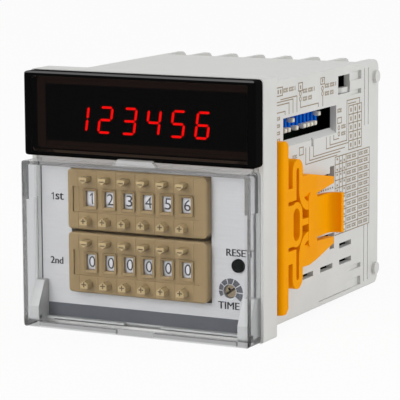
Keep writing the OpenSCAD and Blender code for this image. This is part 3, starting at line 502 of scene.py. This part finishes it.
def stroke(x0, y0, x1, y1, width):
    """Outline of a straight line with a width."""
    along = Vector((x1 - x0, y1 - y0)).normalized() * (width / 2)
    across = Vector((-along.y, along.x))
    a, b = Vector((x0, y0)) - along, Vector((x1, y1)) + along
    return [tuple(p) for p in (a - across, b - across, b + across, a + across)]


def ring_part(x, y, inner, outer, angles, steps=8):
    """Outline of a part of a ring between two angles; the outer radius may change along the arc."""
    start, end = angles
    first, last = outer
    outside, inside = [], []
    for i in range(steps + 1):
        share = i / steps
        angle = start + (end - start) * share
        radius = first + (last - first) * share
        outside.append((x + radius * math.cos(angle), y + radius * math.sin(angle)))
        inside.append((x + inner * math.cos(angle), y + inner * math.sin(angle)))
    return outside + inside[::-1]


class COUNTER_OT_housing(bpy.types.Operator):
    """Finish the case, the bezel, the face sheet and the rear block"""

    bl_idname = "counter.housing"
    bl_label = "Housing"

    plated_steel = (0.62, 0.61, 0.58)

    # Half of the width and height of the room inside the case, and where it ends, in millimetres
    room = (31.35, 32.15)
    room_end = 61.0

    # Painted shadow on the flange's front under the bezel's ledge: half of its length, and its edges above
    # the flange's lower edge, in millimetres
    crevice_half = 29.5
    crevice = (0.95, 1.6)

    # Half of the depth that counts as the flange's front, in millimetres
    skin = 0.1

    # Width of the painted shade in the gaps along the face sheet's left and right edges, in millimetres
    gap = 0.45

    # Shares of the colour that the painted shade leaves in the room, under the bezel's ledge and in the
    # gaps
    room_shade = 0.01
    crevice_shade = 0.25
    gap_shade = 0.15

    def execute(self, context):
        c = colours()
        case = moulded("case_grey", c.case, specular=0.3)
        # Painted shade in the room inside the case
        self.darken_room(case)
        # Painted shadow on the flange's front under the bezel's ledge
        self.darken_crevice(case)
        finish_node("case", case)
        finish_node("front_bezel", moulded("bezel_grey", c.bezel, roughness=0.4))
        block = moulded("block_grey", c.case, roughness=0.5, specular=0.15)
        # Painted shade on the rear block where it faces the room inside the case
        self.darken_room(block)
        finish_node("terminal_block", block)
        sheet = brushed_sheet("face_silver", c.sheet)
        # Painted shade in the gaps along the face sheet's edges
        self.darken_gaps(sheet)
        finish_node("front_plate", sheet)
        finish_node("terminal_screws", metal("plated_steel", self.plated_steel))
        return {"FINISHED"}

    def darken_room(self, material):
        """Paints shade in the room inside the case: blackens what faces it."""
        half_x, half_z = (half * MM for half in self.room)
        room = [
            within(material, "X", -half_x, half_x),
            within(material, "Y", 0, self.room_end * MM),
            within(material, "Z", -half_z, half_z),
        ]
        darken(material, all_of(material, room), inside=self.room_shade)

    def darken_crevice(self, material):
        """Paints the shadow under the bezel's ledge as a dark line on the flange's front."""
        low = node_box("case")[0]
        line = [
            within(material, "X", -self.crevice_half * MM, self.crevice_half * MM),
            within(material, "Y", low.y - self.skin * MM, low.y + self.skin * MM),
            within(material, "Z", *(low.z + height * MM for height in self.crevice)),
        ]
        darken(material, all_of(material, line), inside=self.crevice_shade)

    def darken_gaps(self, material):
        """Paints shade in the gaps along the face sheet's left and right edges, as far up as the cover's
        tab.
        """
        low, high = node_box("front_plate")
        top = node_box("front_cover")[1].z - COVER_TAB * MM
        for edge in (low.x, high.x):
            gap = [
                within(material, "X", edge - self.gap * MM, edge + self.gap * MM),
                within(material, "Z", low.z - MM, top),
            ]
            darken(material, all_of(material, gap), inside=self.gap_shade)


class COUNTER_OT_insides(bpy.types.Operator):
    """Finish the boards and the pieces on them"""

    bl_idname = "counter.insides"
    bl_label = "Insides"

    black = grey(0.012)
    core_steel = (0.3, 0.3, 0.31)

    def execute(self, context):
        c = colours()
        board = moulded("solder_mask", c.board, roughness=0.4, specular=0.2)
        for name in ("front_board", "main_board"):
            finish_node(name, board)
        black = moulded("black_moulding", self.black, roughness=0.4, specular=0.2)
        for name in ("output_relays", "reset_switch"):
            finish_node(name, black)
        finish_node("power_transformer", metal("core_steel", self.core_steel, roughness=0.5))
        blue = moulded("switch_blue", c.blue, roughness=0.5, specular=0.02)
        for name in ("trimmer_body", "option_switch"):
            finish_node(name, blue)
        finish_node("option_levers", moulded("lever_white", c.lever, roughness=0.4))
        return {"FINISHED"}


class COUNTER_OT_display(bpy.types.Operator):
    """Finish the smoked window, the display block and its lit segments"""

    bl_idname = "counter.display"
    bl_label = "Display"

    # Share of the light that goes straight through the window to the display
    passed_light = (0.95, 0.9, 0.85)

    # Width of the window's border, which its own walls make black, in millimetres
    border = {"X": 2.3, "Z": 1.2}

    # Height of the grey strips along the top and the bottom of the display block, in millimetres, and
    # the share of their colour that is left between them
    strip = 1.1
    block_shade = 0.015

    # Products of a face's Y and Z directions at which the coat for the painted highlight starts and is
    # full, its weights there, and its index of refraction
    polish_facing = (-0.2, -0.5)
    polish_weight = (0.025, 0.75)
    polish_ior = 2.2

    segment_strength = 19

    def execute(self, context):
        c = colours()
        smoked = clear("smoked_plastic", c.window, self.passed_light, roughness=0.01, ior=1)
        self.darken_border(smoked)
        # Painted highlight along the window's top bevel
        self.polish_edge(smoked)
        finish_node("display_window", smoked)
        block = moulded("display_black", c.bezel, roughness=0.6, specular=0.1)
        low, high = node_box("led_display")
        strip = self.strip * MM
        darken(block, within(block, "Z", low.z + strip, high.z - strip), inside=self.block_shade)
        finish_node("led_display", block)
        finish_node("led_segments", lit("segment_red", c.segment, self.segment_strength))
        return {"FINISHED"}

    def darken_border(self, material):
        low, high = node_box("display_window")
        for axis, width in self.border.items():
            k = "XYZ".index(axis)
            darken(material, within(material, axis, low[k] + width * MM, high[k] - width * MM), outside=0)

    def polish_edge(self, material):
        """Paints a highlight on the window's top bevel: a strong coat where faces look up and to the front.
        """
        tree = material.node_tree
        parts = tree.nodes.new("ShaderNodeSeparateXYZ")
        tree.links.new(tree.nodes.new("ShaderNodeNewGeometry").outputs["Normal"], parts.inputs["Vector"])
        up_and_front = tree.nodes.new("ShaderNodeMath")
        up_and_front.operation = "MULTIPLY"
        tree.links.new(parts.outputs["Y"], up_and_front.inputs[0])
        tree.links.new(parts.outputs["Z"], up_and_front.inputs[1])
        highlight_coat = tree.nodes.new("ShaderNodeMapRange")
        for k, end in enumerate(("Min", "Max")):
            highlight_coat.inputs["From " + end].default_value = self.polish_facing[k]
            highlight_coat.inputs["To " + end].default_value = self.polish_weight[k]
        tree.links.new(up_and_front.outputs["Value"], highlight_coat.inputs["Value"])
        shader = tree.nodes["Principled BSDF"]
        shader.inputs["Coat IOR"].default_value = self.polish_ior
        tree.links.new(highlight_coat.outputs["Result"], shader.inputs["Coat Weight"])


class COUNTER_OT_cover(bpy.types.Operator):
    """Finish the clear hinged cover"""

    bl_idname = "counter.cover"
    bl_label = "Cover"

    tint = (0.955, 0.96, 0.97)
    passed_light = grey(0.97)

    # Widths of the side walls and of the lip along the bottom, whose greyer tint is painted shade, in
    # millimetres, and the shares of the tint that are left in them
    wall, wall_shade = 1.6, 0.86
    lip, lip_shade = 1.9, 0.5

    # Share of the light that the frosted tab lets through
    frosting = 0.8

    def execute(self, context):
        plastic = clear(
            "clear_plastic", self.tint, self.passed_light, roughness=0.004, ior=1.2, shine=0.8, density=170
        )
        low, high = node_box("front_cover")
        wall, lip = self.wall * MM, self.lip * MM
        # Painted shade: the side walls and the lip are tinted greyer
        darken(plastic, within(plastic, "X", low.x + wall, high.x - wall), outside=self.wall_shade)
        darken(plastic, within(plastic, "Z", low.z + lip, high.z), outside=self.lip_shade)
        self.frost_tab(plastic)
        finish_node("front_cover", plastic)
        return {"FINISHED"}

    def frost_tab(self, material):
        """Gives the finger tab a faint white frosting."""
        low, high = node_box("front_cover")
        below_tab = within(material, "Z", low.z - MM, high.z - COVER_TAB * MM)
        weight = add_ramp(material, below_tab, grey(self.frosting), grey(1), span=(0, 1))
        shader = material.node_tree.nodes["Principled BSDF"]
        material.node_tree.links.new(weight, shader.inputs["Transmission Weight"])


class COUNTER_OT_switches(bpy.types.Operator):
    """Finish the switch banks, and print the wheels and the buttons"""

    bl_idname = "counter.switches"
    bl_label = "Switches"

    # Share of a wheel's width that is its printed rim; the rest is its ratchet
    rim_share = 2.9 / 3.6

    # Share of a digit's width that the numeral one takes
    one_share = 0.45

    def execute(self, context):
        c = colours()
        tan = moulded("switch_tan", c.tan, specular=0.25)
        light_tan = moulded("button_tan", c.button, specular=0.25)
        white = moulded("wheel_white", c.wheel)
        sign = ink("sign_ink", c.sign)
        digit = ink("digit_ink", c.digit)
        for name in ("upper_switches", "lower_switches", "switch_end_plates"):
            finish_node(name, tan)
        for bank in BANKS:
            for column in COLUMNS:
                wheel = f"{bank}_wheel_{column}"
                finish_node(wheel, white)
                self.print_wheel(wheel, SHOWN_DIGITS[bank][column - 1], digit)
                for kind in ("minus", "plus"):
                    button = f"{bank}_{kind}_{column}"
                    finish_node(button, light_tan)
                    self.print_button(button, kind, sign)
        return {"FINISHED"}

    def print_wheel(self, wheel, shown, material):
        """Prints ten digits round a wheel, with the shown one at the front."""
        s = sizes()
        low, high = node_box(wheel)
        middle = (low + high) / 2
        radius = (high.z - low.z) / 2 + s.ink_lift
        window_x = low.x + (high.x - low.x) * self.rim_share / 2
        step = 2 * math.pi / DIGITS_ROUND_WHEEL
        meshes = []
        for k in range(DIGITS_ROUND_WHEEL):
            width = s.wheel_digit_width
            if k == 1:
                width *= self.one_share
                mesh = numeral_one(width, s.wheel_digit_height, s.ink_thickness)
            else:
                mesh = lettering(str(k), width, s.wheel_digit_height, s.ink_thickness)
            self.cut_across(mesh, s.wheel_digit_height)
            turn = (k - shown) * step
            for v in mesh.vertices:
                angle = (v.co.y - s.wheel_digit_height / 2) / radius - turn
                reach = radius + v.co.z
                v.co = (
                    window_x + v.co.x - width / 2,
                    middle.y - reach * math.cos(angle),
                    middle.z + reach * math.sin(angle),
                )
            meshes.append(mesh)
        add_piece(wheel + "_digits", joined(meshes), material, wheel)

    def cut_across(self, mesh, height, slices=8):
        """Cuts a mesh across so that it can bend round the rim."""
        bm = bmesh.new()
        bm.from_mesh(mesh)
        for i in range(1, slices):
            geometry = bm.verts[:] + bm.edges[:] + bm.faces[:]
            bmesh.ops.bisect_plane(
                bm, geom=geometry, plane_co=(0, height * i / slices, 0), plane_no=(0, 1, 0)
            )
        bm.to_mesh(mesh)
        bm.free()

    def print_button(self, button, kind, material):
        """Prints a plus or a minus on a button's face."""
        s = sizes()
        face, middle = node_box(button)[0].y, centre(button)
        half, thin = s.sign_length / 2, s.sign_width / 2
        shapes = [bar(-half, -thin, half, thin)]
        if kind == "plus":
            shapes += [bar(-thin, thin, thin, half), bar(-thin, -half, thin, -thin)]
        mesh = onto_front(prisms(shapes, s.ink_thickness), middle.x, face - s.ink_lift, middle.z)
        add_piece(button + "_sign", mesh, material, button)


class COUNTER_OT_face_print(bpy.types.Operator):
    """Print the face sheet's band, captions and trimmer scale"""

    bl_idname = "counter.face_print"
    bl_label = "Face print"

    # How far apart the two strikes of a caption lie, in millimetres
    strike = 0.16

    def execute(self, context):
        c = colours()
        self.band(moulded("band_grey", c.band))
        self.captions(ink("caption_ink", c.caption))
        self.scale(ink("scale_ink", c.band))
        return {"FINISHED"}

    def place(self, name, mesh, x, z, material):
        front = node_box("front_plate")[0].y - sizes().ink_lift
        add_piece(name, onto_front(mesh, x, front, z), material, HOUSING)

    def band(self, material):
        """Dark band along the foot of the face sheet."""
        low, high = node_box("front_plate")
        margin = 2.2 * MM
        height = 3.8 * MM
        base = 0.05 * MM
        shape = bar(low.x + margin, base, high.x - margin, base + height)
        self.place("face_band", prisms([shape], sizes().ink_thickness), 0, low.z, material)

    def captions(self, material):
        """Words beside the controls and the switch banks."""
        s = sizes()
        reset = centre("reset_button")
        trimmer = centre("time_trimmer")
        first_x, first_z = -28.3 * MM, centre("upper_switches").z - 1.0 * MM
        second_x, second_z = -30.2 * MM, centre("lower_switches").z - 1.4 * MM
        one_width, one_step = 0.8 * MM, 1.3 * MM
        # Each word's piece, its letters, the place of its lower left corner, and its width
        words = (
            ("reset_caption", "RESET", reset.x - 3.7 * MM, reset.z + 2.5 * MM, 7.7 * MM),
            ("time_caption", "TIME", trimmer.x - 3.5 * MM, trimmer.z - 4.9 * MM, 6.5 * MM),
            ("first_caption", "st", first_x, first_z, 2.7 * MM),
            ("second_caption", "2nd", second_x, second_z, 4.2 * MM),
        )
        for name, word, x, z, width in words:
            mesh = lettering(word, width - self.strike * MM, s.caption_height, s.ink_thickness)
            self.place(name, self.struck_twice(mesh), x, z, material)
        upright = numeral_one(one_width, s.caption_height, s.ink_thickness)
        self.place("first_numeral", upright, first_x - one_step, first_z, material)

    def struck_twice(self, mesh):
        """A mark with thicker lines, struck a second time a little to the right."""
        second = mesh.copy()
        second.transform(Matrix.Translation((self.strike * MM, 0, 0)))
        return joined([mesh, second])

    def scale(self, material):
        """Seven segments round the trimmer that grow clockwise."""
        trimmer = centre("time_trimmer")
        inner = 2.1 * MM
        outer = (3.1 * MM, 4.2 * MM)
        parts = 7
        start = math.radians(212)
        sweep = math.radians(252)
        gap = math.radians(5)
        shapes = []
        for i in range(parts):
            angles = (start - sweep * i / parts - gap / 2, start - sweep * (i + 1) / parts + gap / 2)
            radii = [outer[0] + (outer[1] - outer[0]) * (i + k) / parts for k in (0, 1)]
            shapes.append(ring_part(0, 0, inner, radii, angles))
        self.place("trimmer_scale", prisms(shapes, sizes().ink_thickness), trimmer.x, trimmer.z, material)


class COUNTER_OT_controls(bpy.types.Operator):
    """Finish the reset button and the trimmer"""

    bl_idname = "counter.controls"
    bl_label = "Controls"

    # Depth of the rotor's bright face in millimetres, and the share of its colour that painted shade leaves
    # below it
    face_depth = 0.08
    slot_shade = 0.2

    def execute(self, context):
        c = colours()
        finish_node("reset_button", moulded("reset_black", c.reset, roughness=0.4, specular=0.05))
        rotor = metal("trimmer_metal", c.trimmer, roughness=0.4)
        front = node_box("time_trimmer")[0].y
        depth = self.face_depth * MM
        # Painted shade: the rotor is darker below its face, in its slot and round its side
        darken(rotor, within(rotor, "Y", front - depth, front + depth), outside=self.slot_shade)
        finish_node("time_trimmer", rotor)
        return {"FINISHED"}


class COUNTER_OT_brackets(bpy.types.Operator):
    """Finish the two panel brackets"""

    bl_idname = "counter.brackets"
    bl_label = "Brackets"

    # Share of the light that goes into the plastic, how far red, green and blue reach against each
    # other, and how far in millimetres
    inner_light = 0.15
    inner_reach = (1.0, 0.4, 0.03)
    inner_depth = 2

    def execute(self, context):
        orange = moulded("bracket_orange", colours().orange, roughness=0.42, mottle=0.04, specular=0.02)
        shader = orange.node_tree.nodes["Principled BSDF"]
        shader.inputs["Subsurface Weight"].default_value = self.inner_light
        shader.inputs["Subsurface Radius"].default_value = self.inner_reach
        shader.inputs["Subsurface Scale"].default_value = self.inner_depth * MM
        for name in ("right_bracket", "left_bracket"):
            finish_node(name, orange)
        return {"FINISHED"}


class COUNTER_OT_side_print(bpy.types.Operator):
    """Print the setting diagrams on the right side"""

    bl_idname = "counter.side_print"
    bl_label = "Side print"

    # The methods below give places on the side in millimetres, back from the panel and up from the middle

    # How far the flange stands out past the side
    flange_lip = 2.7

    # Pitch of the levers, which the lines to them keep
    lever_pitch = 2.6

    # Half of the length and height of a lever's sign in a table
    sign_half = (0.4, 0.6)

    # Half of the length and height of a dot in a table, and how far it lies above or below the row's middle
    dot_half = (0.4, 0.3)
    dot_lift = 0.4

    def execute(self, context):
        s = sizes()
        shapes = self.setting_table() + self.small_table() + self.captions() + self.leaders()
        shapes = [[(y * MM, z * MM) for y, z in shape] for shape in shapes]
        mesh = prisms(shapes, s.ink_thickness)
        side = node_box("case")[1].x - self.flange_lip * MM + s.ink_lift
        mesh = onto_side(mesh, side, 0, 0)
        add_piece("side_diagrams", mesh, ink("side_ink", colours().side_ink), HOUSING)
        return {"FINISHED"}

    def line(self, y0, z0, y1, z1):
        return stroke(y0, z0, y1, z1, sizes().side_line / MM)

    def path(self, *points):
        return [self.line(*a, *b) for a, b in zip(points, points[1:])]

    def outline(self, y0, z0, y1, z1):
        return self.path((y0, z0), (y1, z0), (y1, z1), (y0, z1), (y0, z0))

    def circle(self, y, z, radius=0.6):
        half = sizes().side_line / MM / 2
        outer = radius + half
        # The ring stays open by a hair, so that its outline doesn't meet itself
        nearly_round = math.radians(358)
        return [ring_part(y, z, radius - half, (outer, outer), (0, nearly_round), steps=16)]

    def words(self, y0, y1, z, height=1.2):
        """Row of short upright dashes, some of them split, with a gap after every fifth."""
        pitch = 0.62
        width = 0.36
        split = 0.4 * height
        shapes = []
        for i in range(int((y1 - y0) / pitch)):
            y = y0 + i * pitch
            if i % 3 == 0:
                shapes.append(bar(y, z, y + width, z + height))
            elif i % 6 != 5:
                shapes.append(bar(y, z, y + width, z + split))
                shapes.append(bar(y, z + height - split, y + width, z + height))
        return shapes

    def block(self, y, z, half_y, half_z):
        """Outline of a filled block round a point."""
        return bar(y - half_y, z - half_z, y + half_y, z + half_z)

    def ruled(self, y0, z0, y1, z1, rows, columns):
        """Frame of a table with its rows and columns."""
        step = (z1 - z0) / rows
        shapes = self.outline(y0, z0, y1, z1)
        shapes += [self.line(y0, z0 + i * step, y1, z0 + i * step) for i in range(1, rows)]
        return shapes + [self.line(y, z0, y, z1) for y in columns]

    def setting_table(self):
        """Ruled table beside the bracket's tab, with dots and dashes in its cells."""
        y0, y1, z0, z1 = 45.3, 70.6, -14.8, 8.1
        rows = 10
        word_drop, word_height = 0.5, 1.1
        step = (z1 - z0) / rows
        shapes = self.ruled(y0, z0, y1, z1, rows, (48.3, 50.6, 53.2, 62.0))
        for i in range(rows):
            z = z0 + (i + 0.5) * step
            for k, y in enumerate((46.8, 49.4, 51.9)):
                lift = self.dot_lift if (i >> k) & 1 else -self.dot_lift
                shapes.append(self.block(y, z + lift, *self.dot_half))
            for start, end in ((53.9, 61.6), (62.7, 70.2)):
                shapes += self.words(start, end, z - word_drop, word_height)
        return shapes

    def small_table(self):
        """Small ruled table near the rear of the side window."""
        y0, y1, z0, z1 = 55.1, 64.5, 9.1, 22.0
        rows = 5
        step = (z1 - z0) / rows
        shapes = self.ruled(y0, z0, y1, z1, rows, (58.3, 61.5))
        for i in range(rows):
            z = z0 + (i + 0.5) * step
            shapes += [self.block(y, z, *self.sign_half) for y in (56.7, 59.9, 63.0)]
        return shapes

    def captions(self):
        """Boxes, circles and rows of dashes around the side window."""
        top, width, ring = 32.0, 2.6, 1.2
        shapes = self.outline(5.4, 29.7, 9.3, top) + self.words(9.9, 18.4, 30.3)
        shapes += [bar(6.2, 30.3, 6.9, 31.4), bar(7.8, 30.3, 8.5, 31.4)]
        for y, z in ((19.9, 29.8), (35.0, 30.2)):
            shapes += self.outline(y, z, y + width, top) + [bar(y + 1.0, z + 0.5, y + 1.6, z + 1.5)]
            shapes += self.circle(y + ring, 29.0) + self.circle(y + ring, 27.5)
            shapes += self.words(y + 2.9, y + 11.5, 28.9) + self.words(y + 2.9, y + 9.6, 26.7)
        shapes += self.words(46.9, 51.0, 20.8)
        shapes += self.outline(47.0, 17.7, 49.7, 19.3) + self.circle(47.9, 16.4) + self.circle(47.9, 14.6)
        shapes += self.words(49.8, 53.3, 15.9, 1.1) + self.words(49.8, 53.0, 13.9, 1.1)
        for z in (23.0, 21.0, 19.0, 17.0):
            shapes += self.words(5.4, 8.4, z, 1.0)
        shapes += self.outline(20.5, 11.7, 23.1, 13.8) + self.words(16.0, 20.2, 11.2, 1.0)
        return shapes

    def leaders(self):
        """Bent lines between the captions and the levers, about as far apart as the levers."""
        above, below = 24.2, 14.6
        shapes = []
        for i, (start, level) in enumerate(((5.4, 25.1), (5.4, 27.2), (5.4, 28.0), (8.2, 28.6))):
            drop = 11.0 + self.lever_pitch * i
            shapes += self.path((start, level), (drop, level), (drop, above))
        shapes += self.path((21.2, 26.6), (21.2, 25.1), (33.3, 25.1), (33.3, above))
        shapes += self.path((36.4, 26.6), (36.4, 24.0))
        for i, end in enumerate((46.6, 48.9, 52.0)):
            drop, level = 24.8 + self.lever_pitch * i, 8.6 + 0.8 * i
            shapes += self.path((drop, 13.2), (drop, level), (end, level))
        shapes += self.path((39.0, below), (39.0, 11.3), (54.6, 11.3))
        shapes += self.path(
            (41.6, below), (41.6, 12.1), (53.7, 12.1), (53.7, 23.7), (63.0, 23.7), (63.0, 22.3)
        )
        shapes += self.path((44.2, below), (44.2, 13.3), (47.8, 13.3))
        shapes += self.path((54.6, 22.7), (60.2, 22.7))
        return shapes


class COUNTER_OT_stage(bpy.types.Operator):
    """Set up the floor, the light and the camera"""

    bl_idname = "counter.stage"
    bl_label = "Stage"

    # Half of the floor's width in metres, and the shade and roughness of its paper
    floor_half = 6.0
    paper_shade = 0.86
    paper_roughness = 0.9

    # Places of the lamps, the point they face, and the width of each, in metres
    key_place = (-0.35, -0.95, 0.5)
    fill_place = (0.95, 0.35, 0.4)
    faced_point = (0, 0.03, 0)
    lamp_width = 0.7

    def execute(self, context):
        context.scene.view_settings.view_transform = "Standard"
        self.floor()
        self.sky(context.scene)
        self.lamps()
        self.camera(context.scene)
        return {"FINISHED"}

    def floor(self):
        half = self.floor_half
        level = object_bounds()[0][2]
        mesh = bpy.data.meshes.new("floor")
        corners = [(-half, -half, level), (half, -half, level), (half, half, level), (-half, half, level)]
        mesh.from_pydata(corners, [], [(0, 1, 2, 3)])
        floor = bpy.data.objects.new("floor", mesh)
        bpy.context.scene.collection.objects.link(floor)
        mesh.materials.append(self.floor_paper())
        floor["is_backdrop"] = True

    def white_share(self, tree):
        """One for rays from the camera, off glossy surfaces or through clear ones, which see white."""
        path = tree.nodes.new("ShaderNodeLightPath")
        share = path.outputs["Is Camera Ray"]
        for kind in ("Is Glossy Ray", "Is Transmission Ray"):
            either = tree.nodes.new("ShaderNodeMath")
            either.operation = "MAXIMUM"
            tree.links.new(share, either.inputs[0])
            tree.links.new(path.outputs[kind], either.inputs[1])
            share = either.outputs["Value"]
        return share

    def floor_paper(self):
        """White paper that the camera sees brighter, and that keeps the shadow."""
        material, shader, _ = new_material("white_paper")
        tree = material.node_tree
        shader.inputs["Base Color"].default_value = (*grey(self.paper_shade), 1)
        shader.inputs["Roughness"].default_value = self.paper_roughness
        glow = tree.nodes.new("ShaderNodeEmission")
        share = tree.nodes.new("ShaderNodeMath")
        share.operation = "MULTIPLY"
        share.inputs[1].default_value = studio().floor_glow
        mix = tree.nodes.new("ShaderNodeMixShader")
        tree.links.new(self.white_share(tree), share.inputs[0])
        tree.links.new(share.outputs["Value"], mix.inputs["Fac"])
        tree.links.new(shader.outputs["BSDF"], mix.inputs[1])
        tree.links.new(glow.outputs["Emission"], mix.inputs[2])
        tree.links.new(mix.outputs["Shader"], tree.nodes["Material Output"].inputs["Surface"])
        return material

    def sky(self, scene):
        """Even white light, which the camera sees as plain white."""
        world = bpy.data.worlds.new("studio")
        scene.world = world
        world.use_nodes = True
        tree = world.node_tree
        soft = tree.nodes["Background"]
        soft.inputs["Color"].default_value = (1, 1, 1, 1)
        soft.inputs["Strength"].default_value = studio().sky
        white = tree.nodes.new("ShaderNodeBackground")
        white.inputs["Color"].default_value = (1, 1, 1, 1)
        mix = tree.nodes.new("ShaderNodeMixShader")
        tree.links.new(self.white_share(tree), mix.inputs["Fac"])
        tree.links.new(soft.outputs["Background"], mix.inputs[1])
        tree.links.new(white.outputs["Background"], mix.inputs[2])
        tree.links.new(mix.outputs["Shader"], tree.nodes["World Output"].inputs["Surface"])

    def lamps(self):
        s = studio()
        self.lamp("key_light", self.key_place, s.key_power)
        self.lamp("fill_light", self.fill_place, s.fill_power)

    def lamp(self, name, place, power):
        light = bpy.data.lights.new(name, "AREA")
        light.shape = "SQUARE"
        light.size = self.lamp_width
        light.energy = power
        lamp = bpy.data.objects.new(name, light)
        lamp.location = place
        aim = Vector(self.faced_point) - Vector(place)
        lamp.rotation_euler = aim.to_track_quat("-Z", "Y").to_euler()
        bpy.context.scene.collection.objects.link(lamp)

    def camera(self, scene):
        s = studio()
        data = bpy.data.cameras.new("camera")
        data.lens = s.lens
        data.shift_x = s.shift_x
        data.shift_y = s.shift_y
        camera = bpy.data.objects.new("camera", data)
        turn = Matrix.Rotation(s.yaw, 4, "Z") @ Matrix.Rotation(math.pi / 2 - s.pitch, 4, "X")
        camera.matrix_world = Matrix.Translation(s.camera_place) @ turn @ Matrix.Rotation(s.roll, 4, "Z")
        scene.collection.objects.link(camera)
        scene.camera = camera


GROUPS = (
    ("counter_sizes", CounterSizes),
    ("counter_colours", CounterColours),
    ("counter_studio", CounterStudio),
)

OPERATORS = (
    COUNTER_OT_stage,
    COUNTER_OT_housing,
    COUNTER_OT_insides,
    COUNTER_OT_display,
    COUNTER_OT_cover,
    COUNTER_OT_switches,
    COUNTER_OT_controls,
    COUNTER_OT_face_print,
    COUNTER_OT_brackets,
    COUNTER_OT_side_print,
)


class COUNTER_PT_panel(bpy.types.Panel):
    """Lists the pieces of the counter and their settings"""

    bl_idname = "COUNTER_PT_panel"
    bl_label = "Panel counter"
    bl_space_type = "VIEW_3D"
    bl_region_type = "UI"
    bl_category = "Counter"

    def draw(self, context):
        layout = self.layout
        for operator in OPERATORS:
            layout.operator(operator.bl_idname)
        for group_name, group_class in GROUPS:
            column = layout.box().column()
            for name in group_class.__annotations__:
                column.prop(getattr(context.scene, group_name), name)


def register():
    for name, group in GROUPS:
        bpy.utils.register_class(group)
        setattr(bpy.types.Scene, name, PointerProperty(type=group))
    for cls in (*OPERATORS, COUNTER_PT_panel):
        bpy.utils.register_class(cls)


def unregister():
    for cls in reversed((*OPERATORS, COUNTER_PT_panel)):
        bpy.utils.unregister_class(cls)
    for name, group in reversed(GROUPS):
        delattr(bpy.types.Scene, name)
        bpy.utils.unregister_class(group)


def main():
    register()
    bpy.ops.counter.stage()
    bpy.ops.counter.housing()
    bpy.ops.counter.insides()
    bpy.ops.counter.display()
    bpy.ops.counter.cover()
    bpy.ops.counter.switches()
    bpy.ops.counter.controls()
    bpy.ops.counter.face_print()
    bpy.ops.counter.brackets()
    bpy.ops.counter.side_print()


if __name__ == "__main__":
    main()
